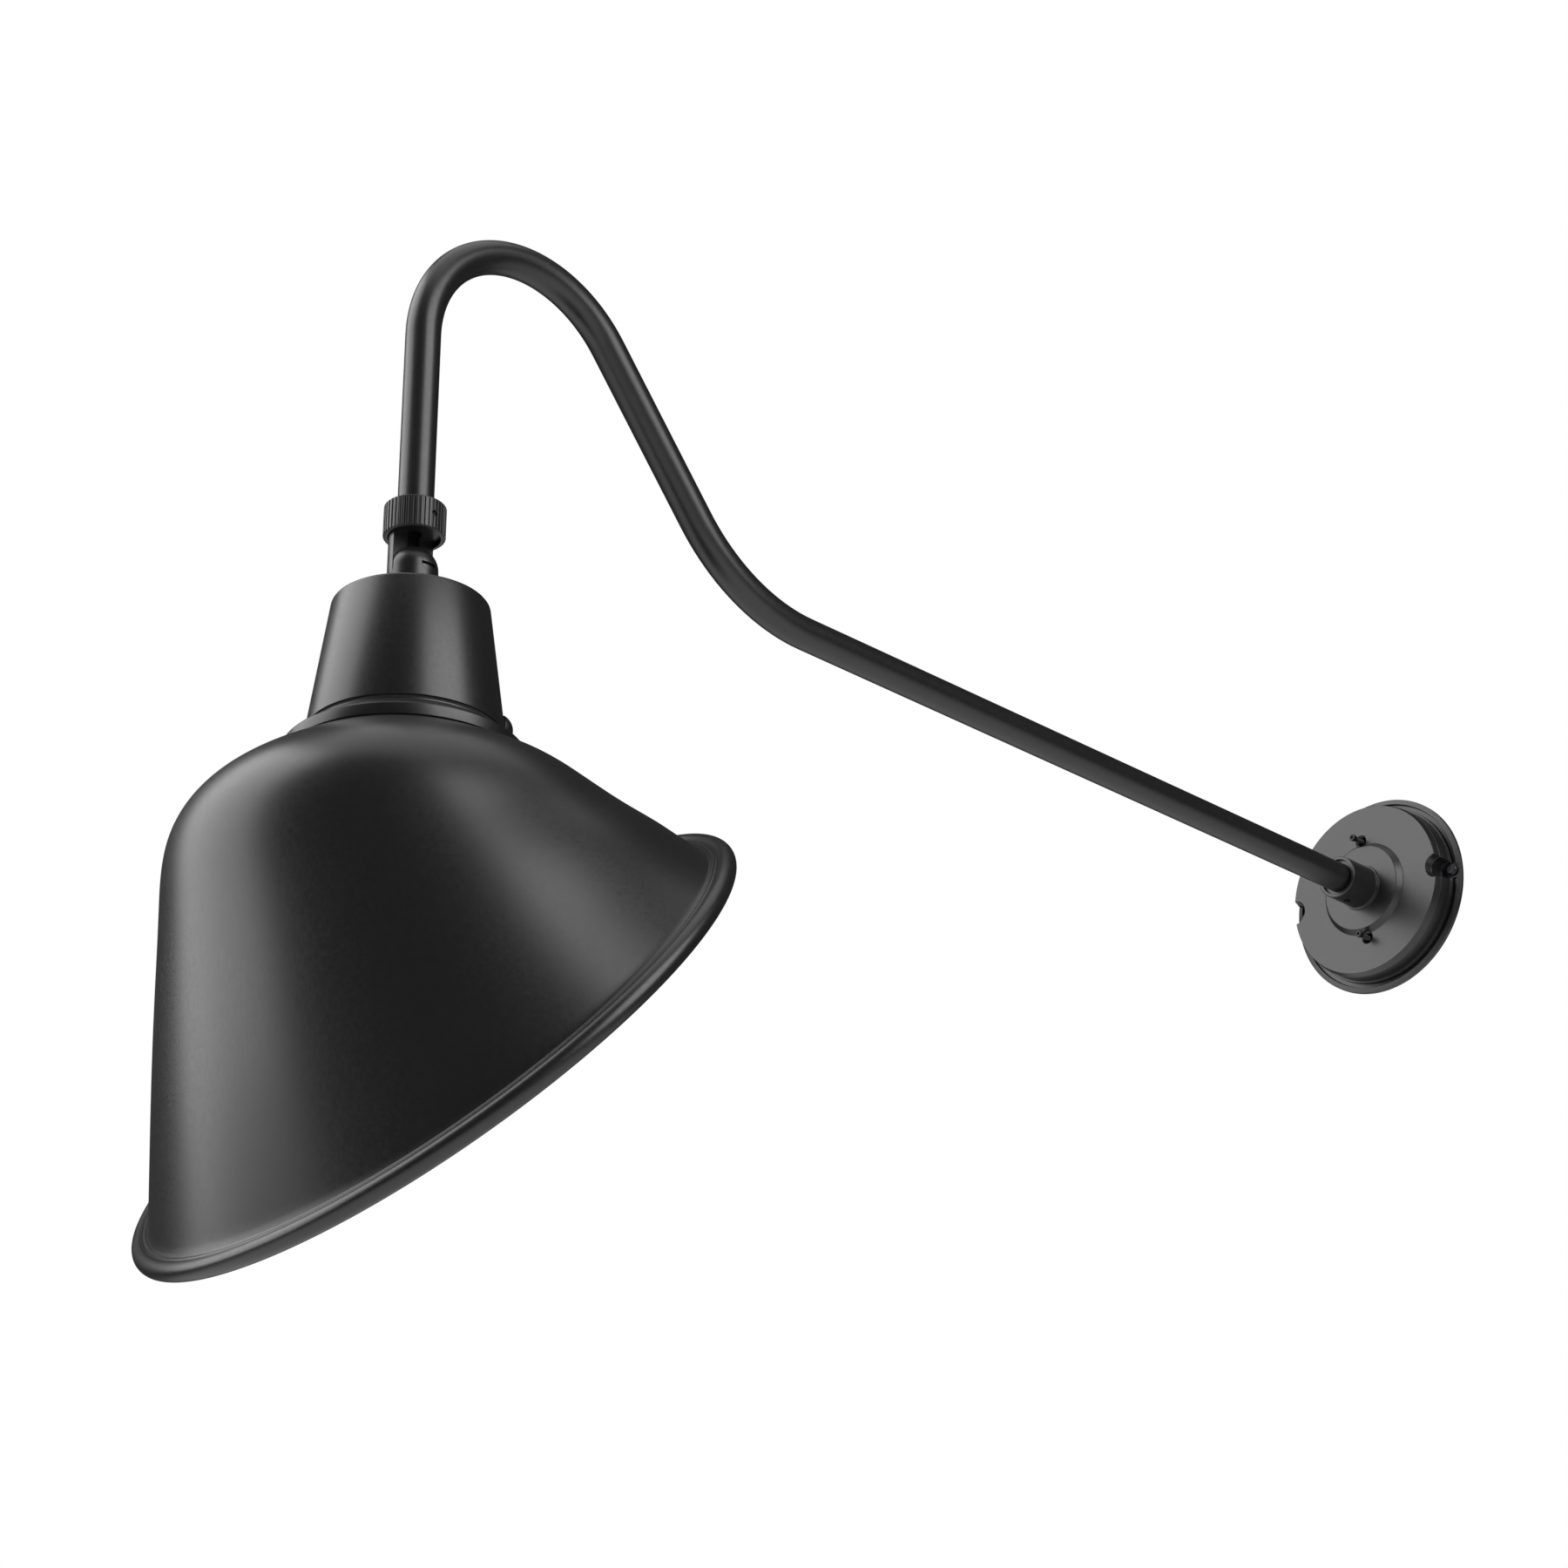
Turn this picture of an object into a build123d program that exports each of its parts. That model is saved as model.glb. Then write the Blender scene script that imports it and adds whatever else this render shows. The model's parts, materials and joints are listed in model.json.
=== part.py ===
from build123d import *
import os
from math import cos, radians, sin

# Wall lamp on a fixed gooseneck arm, with a tilting head and an angled dish shade.
# Frame: X to the right when facing the wall, Y into the wall, Z up. The origin is where the
# arm socket's axis meets the wall. Everything stands on the -Y side. Millimetres and degrees.

# Fits and clearances
TURN_GAP = 0.3          # between parts that turn past each other
SLIP_FIT = 0.1          # radial, for a tube in its socket or a screw in its hole
PIN_FIT = 0.05          # radial, for the pivot screw in its bore
FACE_GAP = 0.2          # between a screw's head and the edge of its counterbore

# Wall canopy, counted outwards from the wall
GASKET_T = 1.5
GASKET_R = 73.0
GASKET_BORE_R = 34.0
FLANGE_R = 74.4
FLANGE_T = 3.7
FLANGE_EDGE_R = 1.8
SEAT_T = 2.9            # the plate's thickness where the cover stands on it
GROOVE_W = 4.4
GROOVE_D = 2.4
WIRE_HOLE_R = 22.0
BOX_SCREW_PITCH = 88.9
BOX_SCREW_HOLE_R = 2.6
COVER_R = 65.6
COVER_DEPTH = 17.5
COVER_WALL = 3.4
COVER_CHAMFER = 1.6
BOSS_BASE_R = 35.4
BOSS_TOP_R = 32.0
BOSS_H = 4.1
SOCKET_R = 15.7
SOCKET_FOOT_R = 17.0
SOCKET_FOOT_H = 1.6
SOCKET_LENGTH = 28.6
SOCKET_MOUTH_R = 13.2
SOCKET_MOUTH_D = 2.4
SOCKET_EDGE = 0.8
NOTCH_R = 7.6
NOTCH_X = 64.2
NOTCH_CHAMFER = 1.7
NOTCH_WALL = 3.0

# Canopy screws
FLANGE_SCREW_X = 67.0
FLANGE_SCREW_R = 2.2
FLANGE_SCREW_HEAD_R = 4.6
FLANGE_SCREW_HEAD_H = 3.2
SCREW_PAD_R = 6.2
COVER_SCREW_Z = 38.4
COVER_SCREW_R = 2.0
COVER_SCREW_OUT = 11.0  # how far the screws stand out of the cover
COVER_SCREW_TIP_R = 2.5
COVER_SCREW_TIP_L = 2.6
COVER_HOLE_R = 3.5
COVER_HOLE_RIM_R = 4.9
COVER_POST_R = 4.6
COVER_POST_H = 9.0
HEX_ACROSS = 2.0
GROUND_SCREW_AT = (-26.0, 22.0)
GROUND_SCREW_R = 1.9
GROUND_HEAD_R = 4.0
GROUND_HEAD_H = 2.4
SET_SCREW_R = 2.4
SET_SCREW_L = 3.6
SET_SCREW_FROM_MOUTH = 10.5

# Arm: a bent pipe with its centreline in the plane X = 0
TUBE_OD = 21.34
TUBE_WALL = 2.77
TUBE_SEAT = 6.0         # wall left under the pipe at the bottom of its socket
ARM_LEVEL = 606.0       # level run, from the wall to the first bend
ARM_RISE_ANGLE = 50.0
ARM_RISE = 120.0
BEND_1_R = 127.3
BEND_2_R = 83.9
ARM_DROP = 130.7        # straight run down from the second bend to the pipe's end

# Knurled collar and swivel, counted down from the pipe's end
COLLAR_R = 18.3
COLLAR_H = 20.4
COLLAR_ABOVE = 13.4     # how much of the collar is above the pipe's end
COLLAR_ROOF = 4.0
COLLAR_LIP = 2.7
COLLAR_LIP_R = 15.4
COLLAR_EDGE = 0.8
KNURL_COUNT = 40
KNURL_DEPTH = 0.75
KNURL_LAND = 0.62       # share of the pitch that stays at full radius
SWIVEL_R = 14.9
SWIVEL_FLANGE_R = 16.2
SWIVEL_FLANGE_H = 3.7
SPIGOT_R = 7.6
SPIGOT_H = 17.0
SWIVEL_BORE_R = 4.5
PIVOT_DROP = 28.8       # from the pipe's end down to the pivot
LAP_GAP = 0.8
KNUCKLE_RELIEF = 1.1    # between the ear's rounded end and the knuckle's shoulder
PIVOT_R = 3.0
PIVOT_HEAD_R = 4.8
PIVOT_HEAD_H = 4.4
PIVOT_REACH = 12.0
SLOT_W = 1.9
SLOT_D = 1.6
WASHER_R = 8.0
WASHER_T = 0.5
COLLAR_SCREW_R = 1.75

# Hub under the swivel
HUB_DROP = 52.2         # from the pipe's end down to the hub's top
HUB_H = 82.4
HUB_TOP_R = 45.8
HUB_BOTTOM_R = 57.0
HUB_WALL = 3.2
HUB_ROOF = 5.0
HUB_SHOULDER_R = 2.6
HUB_EDGE = 0.7
SEAL_T = 1.0
KNUCKLE_SPIGOT_R = 9.0
KNUCKLE_SPIGOT_L = 13.6
KNUCKLE_BORE_R = 5.0
LOCKNUT_ACROSS = 24.0
LOCKNUT_H = 6.0
HUB_SCREW_PCR = 47.6
HUB_SCREW_COUNT = 3
HUB_SCREW_R = 2.0
HUB_SCREW_HEAD_R = 3.8
HUB_SCREW_HEAD_H = 2.2
HUB_POST_R = 5.4
HUB_POST_H = 14.0
PLUG_ANGLE = 60.0
PLUG_UP = 10.5          # the plug's axis above the hub's bottom edge
PLUG_R = 9.3
PLUG_DOME = 6.2
PLUG_STEM_R = 7.0
PLUG_STEM_L = 5.0

# Fitter ring between the hub and the shade
HUB_GASKET_T = 1.5
HUB_GASKET_BORE_R = 53.6
FITTER_R = 69.5
FITTER_BORE_R = 42.0
FITTER_PLATEAU_R = 55.6
FITTER_H = 16.7
FITTER_SLOPE_H = 9.1
FITTER_WEB = 4.7
FITTER_RECESS_R = 60.5
FITTER_EDGE = 0.9

# Light engine in the fitter ring's recess
SINK_R = 58.4
SINK_T = 4.7
FIN_COUNT = 12
FIN_T = 2.2
FIN_H = 22.0
FIN_INNER_R = 14.0
FIN_OUTER_R = 39.5
DRIVER_R = 35.0
DRIVER_H = 38.0
DRIVER_EDGE = 2.0
TERMINAL_SIZE = (26.0, 13.0, 10.0)
BOARD_R = 43.0
BOARD_T = 1.6
CHIP_SIZE = (3.5, 3.5, 0.8)
CHIP_RINGS = ((6, 13.0), (12, 29.0))
REFLECTOR_TOP_R = 43.6
REFLECTOR_FOOT_R = 49.2
REFLECTOR_H = 7.0
REFLECTOR_T = 1.2
LENS_R = 52.6
LENS_DOME_R = 48.6
LENS_DOME_H = 15.0
LENS_T = 2.0
BEZEL_R = 57.6
BEZEL_BORE_R = 50.6
BEZEL_WALL = 4.6
BEZEL_LIP = 2.0
BEZEL_EDGE = 0.5
BEZEL_SCREW_R = 1.3
BEZEL_SCREW_HEAD_R = 2.4
BEZEL_SCREW_HEAD_H = 1.4
BEZEL_SCREW_COUNT = 3

# Shade. Its wall is drawn through round sections that tilt from level at the neck to the
# rim's angle, lean away from the wall first and then back towards it.
SHADE_GASKET_T = 1.0
SHADE_T = 1.6
SHADE_BORE_R = 60.5
RIM_TILT = 50.0
RIM_R = 193.2           # to the middle of the rolled bead
RIM_BEAD_R = 5.8
RIM_BEFORE_AXIS = 29.5  # the rim's centre, towards the wall from the head's axis
RIM_DROP = 316.0        # the rim's centre, down from the pipe's end
RIM_FLANGE_W = 7.4      # from the end of the shade's wall out to the bead's middle
RIM_FLANGE_UP = 5.2     # the flange's face above the bead's middle
RIDGE_R = 0.8
RIDGE_PITCH = 2.7
BEAD_GAP_FROM = 8.0      # the roll's edge stops short of the flange, between these angles
BEAD_GAP_TO = 34.0
# Each section: its far edge's lean from the head's axis and drop from the neck, the same for
# its edge on the wall side, and its half width across the lamp
SHADE_SECTIONS = (
    (110.8, 27.9, -87.8, 7.4, 100.3),
    (130.4, 63.6, -103.4, 12.5, 120.1),
    (128.0, 106.8, -121.0, 15.3, 134.4),
    (120.3, 157.8, -134.0, 16.2, 150.0),
    (109.8, 222.2, -141.0, 16.5, 166.0),
)
SHADE_STATIONS = 12     # steps in which the wall is drawn between the neck and the rim
SLOPE_STEP = 0.01       # part of a step over which a line's slope is measured

# Clamp ring inside the shade
CLAMP_BORE_R = 60.8
CLAMP_R = 68.0
CLAMP_T = 3.6
CLAMP_SCREW_COUNT = 4
CLAMP_SCREW_PCR = 64.6
CLAMP_SCREW_R = 1.9
CLAMP_SCREW_HEAD_R = 3.3
CLAMP_SCREW_HEAD_H = 2.4
CLAMP_SCREW_L = 11.5

# Places worked out from the sizes above
TUBE_R = TUBE_OD / 2
TUBE_BORE_R = TUBE_R - TUBE_WALL
FLANGE_FACE = GASKET_T + FLANGE_T
SEAT_FACE = GASKET_T + SEAT_T
COVER_FACE = SEAT_FACE + COVER_DEPTH
BOSS_FACE = COVER_FACE + BOSS_H
SOCKET_END = BOSS_FACE + SOCKET_LENGTH
TUBE_START = COVER_FACE - COVER_WALL + TUBE_SEAT
RISE = radians(ARM_RISE_ANGLE)
REACH = ARM_LEVEL + (BEND_1_R + BEND_2_R) * sin(RISE) + ARM_RISE * cos(RISE) + BEND_2_R
TUBE_END = BEND_1_R * (1 - cos(RISE)) + ARM_RISE * sin(RISE) - BEND_2_R * cos(RISE) - ARM_DROP
COLLAR_TOP = TUBE_END + COLLAR_ABOVE
COLLAR_BOTTOM = COLLAR_TOP - COLLAR_H
FLANGE_TOP = TUBE_END - TURN_GAP
FLANGE_BOTTOM = FLANGE_TOP - SWIVEL_FLANGE_H
PIVOT_Z = TUBE_END - PIVOT_DROP
PIVOT_FACE = (SWIVEL_R ** 2 - PIVOT_HEAD_R ** 2) ** 0.5
PIVOT_SEAT = PIVOT_FACE - PIVOT_HEAD_H
KNUCKLE_TOP = PIVOT_Z - SWIVEL_R - KNUCKLE_RELIEF
HUB_TOP = TUBE_END - HUB_DROP
HUB_BOTTOM = HUB_TOP - HUB_H
FITTER_TOP = HUB_BOTTOM - HUB_GASKET_T
FITTER_BOTTOM = FITTER_TOP - FITTER_H
WEB_BOTTOM = FITTER_TOP - FITTER_WEB
SINK_BOTTOM = WEB_BOTTOM - SINK_T
BOARD_BOTTOM = SINK_BOTTOM - BOARD_T
LENS_TOP = BOARD_BOTTOM - REFLECTOR_H
BEZEL_BOTTOM = LENS_TOP - LENS_T - BEZEL_LIP
SHADE_TOP = FITTER_BOTTOM - SHADE_GASKET_T
CLAMP_TOP = SHADE_TOP - SHADE_T
CLAMP_BOTTOM = CLAMP_TOP - CLAMP_T
RIM_FLANGE_R = RIM_R - RIM_FLANGE_W

SIDE = Plane(origin=(0, 0, 0), x_dir=(0, -1, 0), z_dir=(-1, 0, 0))   # local X out from the wall, local Y up
HEAD = Pos(0, -REACH, 0)


def turned(points, axis):
    """Solid of revolution from (radius, height) points, about the wall's normal or the vertical."""
    flat = make_face(Polyline(*points, close=True))
    if axis == "wall":
        return revolve(Rot(180, 0, 0) * flat, Axis.Y)
    return revolve(Plane.XZ * flat, Axis.Z)


def post(radius, low, high):
    """Upright cylinder between two heights."""
    return Pos(0, 0, (low + high) / 2) * Cylinder(radius, high - low)


def stud(radius, near, far):
    """Cylinder square to the wall, between two distances from it."""
    return Pos(0, -(near + far) / 2, 0) * Rot(90, 0, 0) * Cylinder(radius, far - near)


def crossbar(radius, left, right):
    """Cylinder along X between two places."""
    return Pos((left + right) / 2, 0, 0) * Rot(0, 90, 0) * Cylinder(radius, right - left)


def around(count, radius, start=0.0):
    """Places spread evenly round the vertical axis, each turned to face outwards."""
    step = 360 / count
    return [Rot(0, 0, start + i * step) * Pos(radius, 0, 0) for i in range(count)]


def joined(pieces):
    """One shape from several overlapping pieces."""
    total = pieces[0]
    for piece in pieces[1:]:
        total = total + piece
    return total


def mirrored_pair(piece, x=0.0, z=0.0):
    """The same piece at two opposite places, as separate solids."""
    return Compound(children=[Pos(x, 0, z) * piece, Pos(-x, 0, -z) * piece])


def pan_head(radius, height, shank_r, shank_l):
    """Pan-head screw standing on the plane Z = 0, head up."""
    edge = height * 0.45
    head = turned([(0, 0), (radius, 0), (radius, height - edge), (radius * 0.72, height), (0, height)], "up")
    return head + post(shank_r, -shank_l, 0)


# Wall canopy

def make_wall_gasket():
    pad = stud(GASKET_R, 0, GASKET_T) - stud(GASKET_BORE_R, 0, GASKET_T)
    for x in (-FLANGE_SCREW_X, FLANGE_SCREW_X):
        pad -= Pos(x, 0, 0) * stud(FLANGE_SCREW_R + FACE_GAP, 0, GASKET_T)
    for x in (-BOX_SCREW_PITCH / 2, BOX_SCREW_PITCH / 2):
        pad -= Pos(x, 0, 0) * stud(BOX_SCREW_HOLE_R, 0, GASKET_T)
    return pad


def make_back_plate():
    groove_in = COVER_R + FACE_GAP
    groove_out = groove_in + GROOVE_W
    rim_r = FLANGE_R - FLANGE_EDGE_R
    plate = turned([
        (0, GASKET_T), (FLANGE_R, GASKET_T), (FLANGE_R, FLANGE_FACE - FLANGE_EDGE_R), (rim_r, FLANGE_FACE),
        (groove_out, FLANGE_FACE), (groove_out, FLANGE_FACE - GROOVE_D), (groove_in, FLANGE_FACE - GROOVE_D),
        (groove_in, SEAT_FACE), (0, SEAT_FACE)], "wall")
    for x in (-FLANGE_SCREW_X, FLANGE_SCREW_X):
        plate += Pos(x, 0, 0) * stud(SCREW_PAD_R, GASKET_T, SEAT_FACE)
        plate -= Pos(x, 0, 0) * stud(SCREW_PAD_R, SEAT_FACE, FLANGE_FACE)
        plate -= Pos(x, 0, 0) * stud(FLANGE_SCREW_R + SLIP_FIT, 0, FLANGE_FACE)
    for z in (-COVER_SCREW_Z, COVER_SCREW_Z):
        plate += Pos(0, 0, z) * stud(COVER_POST_R, GASKET_T, SEAT_FACE + COVER_POST_H)
        plate -= Pos(0, 0, z) * stud(COVER_SCREW_R + SLIP_FIT, 0, SEAT_FACE + COVER_POST_H)
    for x in (-BOX_SCREW_PITCH / 2, BOX_SCREW_PITCH / 2):
        plate -= Pos(x, 0, 0) * stud(BOX_SCREW_HOLE_R, 0, SEAT_FACE)
    gx, gz = GROUND_SCREW_AT
    plate -= Pos(gx, 0, gz) * stud(GROUND_SCREW_R + SLIP_FIT, 0, SEAT_FACE)
    return plate - stud(WIRE_HOLE_R, 0, SEAT_FACE)


def make_canopy_cover():
    shell = turned([
        (0, SEAT_FACE), (COVER_R, SEAT_FACE), (COVER_R, COVER_FACE - COVER_CHAMFER),
        (COVER_R - COVER_CHAMFER, COVER_FACE), (BOSS_BASE_R, COVER_FACE), (BOSS_TOP_R, BOSS_FACE),
        (SOCKET_FOOT_R, BOSS_FACE), (SOCKET_FOOT_R, BOSS_FACE + SOCKET_FOOT_H),
        (SOCKET_R, BOSS_FACE + SOCKET_FOOT_H), (SOCKET_R, SOCKET_END - SOCKET_EDGE),
        (SOCKET_R - SOCKET_EDGE, SOCKET_END), (0, SOCKET_END)], "wall")
    hollow = stud(COVER_R - COVER_WALL, SEAT_FACE, COVER_FACE - COVER_WALL)
    for x in (-NOTCH_X, NOTCH_X):
        hollow -= Pos(x, 0, 0) * stud(NOTCH_R + NOTCH_WALL, SEAT_FACE, COVER_FACE)
    shell -= hollow
    countersink = turned([(0, COVER_FACE - NOTCH_CHAMFER), (NOTCH_R, COVER_FACE - NOTCH_CHAMFER),
                          (NOTCH_R + NOTCH_CHAMFER, COVER_FACE), (0, COVER_FACE)], "wall")
    for x in (-NOTCH_X, NOTCH_X):
        shell -= Pos(x, 0, 0) * (stud(NOTCH_R, SEAT_FACE, COVER_FACE) + countersink)
    rim_depth = COVER_HOLE_RIM_R - COVER_HOLE_R
    hole_rim = turned([(0, COVER_FACE - rim_depth), (COVER_HOLE_R, COVER_FACE - rim_depth),
                       (COVER_HOLE_RIM_R, COVER_FACE), (COVER_HOLE_RIM_R, BOSS_FACE), (0, BOSS_FACE)], "wall")
    for z in (-COVER_SCREW_Z, COVER_SCREW_Z):
        shell -= Pos(0, 0, z) * (stud(COVER_HOLE_R, SEAT_FACE, COVER_FACE) + hole_rim)
    shell -= stud(TUBE_R + SLIP_FIT, TUBE_START, SOCKET_END)
    shell -= stud(SOCKET_MOUTH_R, SOCKET_END - SOCKET_MOUTH_D, SOCKET_END)
    shell -= stud(TUBE_BORE_R, SEAT_FACE, TUBE_START)
    screw_y = -(SOCKET_END - SET_SCREW_FROM_MOUTH)
    return shell - Pos(0, screw_y, 0) * post(SET_SCREW_R + SLIP_FIT, -SOCKET_R, 0)


def make_flange_screws():
    head = Rot(90, 0, 0) * pan_head(FLANGE_SCREW_HEAD_R, FLANGE_SCREW_HEAD_H, FLANGE_SCREW_R, SEAT_FACE)
    return mirrored_pair(Pos(0, -SEAT_FACE, 0) * head, x=FLANGE_SCREW_X)


def make_cover_screws():
    tip = COVER_FACE + COVER_SCREW_OUT
    screw = stud(COVER_SCREW_R, SEAT_FACE, tip) + stud(COVER_SCREW_TIP_R, tip - COVER_SCREW_TIP_L, tip)
    socket = extrude(RegularPolygon(HEX_ACROSS / 2, 6, major_radius=False), COVER_SCREW_TIP_L / 2)
    screw -= Pos(0, -tip, 0) * Rot(-90, 0, 0) * socket
    return mirrored_pair(screw, z=COVER_SCREW_Z)


def make_ground_screw():
    gx, gz = GROUND_SCREW_AT
    screw = pan_head(GROUND_HEAD_R, GROUND_HEAD_H, GROUND_SCREW_R, SEAT_FACE - GASKET_T)
    return Pos(gx, -SEAT_FACE, gz) * Rot(90, 0, 0) * screw


def make_socket_set_screw():
    tip = -(TUBE_R + SLIP_FIT / 2)
    screw = post(SET_SCREW_R, tip - SET_SCREW_L, tip)
    screw -= Pos(0, 0, tip - SET_SCREW_L) * extrude(RegularPolygon(HEX_ACROSS / 2, 6, major_radius=False), 1.8)
    return Pos(0, -(SOCKET_END - SET_SCREW_FROM_MOUTH), 0) * screw


# Arm

def make_arm_tube():
    level = Line((TUBE_START, 0), (ARM_LEVEL, 0))
    bend_up = JernArc(level @ 1, level % 1, BEND_1_R, ARM_RISE_ANGLE)
    rise = Line(bend_up @ 1, (bend_up @ 1) + (bend_up % 1) * ARM_RISE)
    bend_over = JernArc(rise @ 1, rise % 1, BEND_2_R, -(90 + ARM_RISE_ANGLE))
    drop = Line(bend_over @ 1, (bend_over @ 1) + (bend_over % 1) * ARM_DROP)
    path = Wire([SIDE * edge for edge in (level, bend_up, rise, bend_over, drop)])
    section = Circle(TUBE_R) - Circle(TUBE_BORE_R)
    return sweep(Plane(origin=path @ 0, z_dir=path % 0) * section, path)


# Knurled collar

def knurl_outline():
    """Ribs and grooves round the collar."""
    points = []
    pitch = 360 / KNURL_COUNT
    land = pitch * KNURL_LAND / 2
    floor = pitch * (1 - KNURL_LAND) / 5
    for i in range(KNURL_COUNT):
        middle = i * pitch
        for radius, angle in ((COLLAR_R, middle - land), (COLLAR_R, middle + land),
                              (COLLAR_R - KNURL_DEPTH, middle + pitch / 2 - floor),
                              (COLLAR_R - KNURL_DEPTH, middle + pitch / 2 + floor)):
            points.append((radius * cos(radians(angle)), radius * sin(radians(angle))))
    return make_face(Polyline(*points, close=True))


def make_knurled_collar():
    ribs = Pos(0, 0, COLLAR_BOTTOM) * extrude(knurl_outline(), COLLAR_H)
    edge = COLLAR_EDGE
    envelope = turned([
        (0, COLLAR_BOTTOM), (COLLAR_R - edge, COLLAR_BOTTOM), (COLLAR_R, COLLAR_BOTTOM + edge),
        (COLLAR_R, COLLAR_TOP - edge), (COLLAR_R - edge, COLLAR_TOP), (0, COLLAR_TOP)], "up")
    chamber_r = SWIVEL_FLANGE_R + TURN_GAP
    lip_top = FLANGE_BOTTOM - TURN_GAP
    collar = ribs & envelope
    collar -= post(TUBE_R + TURN_GAP, COLLAR_BOTTOM, COLLAR_TOP)
    collar -= post(chamber_r, lip_top, COLLAR_TOP - COLLAR_ROOF)
    collar -= post(COLLAR_LIP_R, COLLAR_BOTTOM, lip_top)
    collar -= crossbar_at(COLLAR_SCREW_R + SLIP_FIT, 0, COLLAR_R, collar_screw_z())
    return HEAD * collar


def collar_screw_z():
    return (COLLAR_TOP + COLLAR_BOTTOM) / 2


def crossbar_at(radius, left, right, z):
    return Pos(0, 0, z) * crossbar(radius, left, right)


def make_collar_set_screw():
    wall_in = SWIVEL_FLANGE_R + TURN_GAP
    return HEAD * crossbar_at(COLLAR_SCREW_R, TUBE_R + TURN_GAP, wall_in + FACE_GAP, collar_screw_z())


# Swivel: two half-round ears lapped on a pivot screw

def ear(low, high, left, right):
    """Round bar from one height to another, cut to one side of the lap."""
    slab = Pos((left + right) / 2, 0, (low + high) / 2) * Box(right - left, 4 * SWIVEL_R, high - low)
    return post(SWIVEL_R, low, high) & slab


def ear_end(left, right, side):
    """Round end of an ear: part of a ball about the pivot, above it (side 1) or below it (side -1)."""
    middle = Pos((left + right) / 2, 0, PIVOT_Z + side * SWIVEL_R)
    return (Pos(0, 0, PIVOT_Z) * Sphere(SWIVEL_R)) & (middle * Box(right - left, 4 * SWIVEL_R, 2 * SWIVEL_R))


def make_swivel_upper():
    lap = -LAP_GAP / 2
    body = ear(PIVOT_Z, FLANGE_BOTTOM, -SWIVEL_R, lap) + ear_end(-SWIVEL_R, lap, -1)
    body += post(SWIVEL_FLANGE_R, FLANGE_BOTTOM, FLANGE_TOP)
    body += post(SPIGOT_R, FLANGE_TOP, FLANGE_TOP + SPIGOT_H)
    body -= post(SWIVEL_BORE_R, FLANGE_BOTTOM - SWIVEL_FLANGE_H, FLANGE_TOP + SPIGOT_H)
    body -= crossbar_at(PIVOT_R + SLIP_FIT, -PIVOT_REACH - FACE_GAP, lap, PIVOT_Z)
    return HEAD * body


def make_pivot_screw():
    head = crossbar_at(PIVOT_HEAD_R, PIVOT_SEAT, PIVOT_FACE, PIVOT_Z)
    head -= Pos(PIVOT_FACE, 0, PIVOT_Z) * Box(2 * SLOT_D, 3 * PIVOT_HEAD_R, SLOT_W)
    return HEAD * (head + crossbar_at(PIVOT_R, -PIVOT_REACH, PIVOT_SEAT, PIVOT_Z))


def make_friction_washer():
    lap = -LAP_GAP / 2
    washer = crossbar_at(WASHER_R, lap, lap + WASHER_T, PIVOT_Z)
    return HEAD * (washer - crossbar_at(PIVOT_R + SLIP_FIT, lap, lap + WASHER_T, PIVOT_Z))


def make_knuckle():
    lap = LAP_GAP / 2
    foot = HUB_TOP + SEAL_T
    body = ear(KNUCKLE_TOP, PIVOT_Z, lap, SWIVEL_R) + ear_end(lap, SWIVEL_R, 1)
    body += post(SWIVEL_R, foot, KNUCKLE_TOP)
    body += post(KNUCKLE_SPIGOT_R, foot - KNUCKLE_SPIGOT_L, foot)
    body -= crossbar_at(PIVOT_R + PIN_FIT, lap, SWIVEL_R, PIVOT_Z)
    body -= crossbar_at(PIVOT_HEAD_R + TURN_GAP, PIVOT_SEAT - TURN_GAP, SWIVEL_R, PIVOT_Z)
    return HEAD * (body - post(KNUCKLE_BORE_R, foot - KNUCKLE_SPIGOT_L, foot))


# Hub

def make_knuckle_seal():
    ring = post(SWIVEL_R - SEAL_T, HUB_TOP, HUB_TOP + SEAL_T)
    return HEAD * (ring - post(KNUCKLE_SPIGOT_R + SLIP_FIT, HUB_TOP, HUB_TOP + SEAL_T))


def make_hub_locknut():
    top = HUB_TOP - HUB_ROOF
    nut = Pos(0, 0, top - LOCKNUT_H) * extrude(RegularPolygon(LOCKNUT_ACROSS / 2, 6, major_radius=False), LOCKNUT_H)
    return HEAD * (nut - post(KNUCKLE_SPIGOT_R + SLIP_FIT, top - LOCKNUT_H, top))


def hub_radius(z):
    """Outer radius of the hub's cone at a height."""
    return HUB_TOP_R + (HUB_BOTTOM_R - HUB_TOP_R) * (HUB_TOP - z) / HUB_H


def plug_place():
    """Where the side plug's axis leaves the hub, facing outwards."""
    z = HUB_BOTTOM + PLUG_UP
    return Rot(0, 0, PLUG_ANGLE) * Pos(hub_radius(z), 0, z) * Rot(0, 90, 0)


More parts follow.
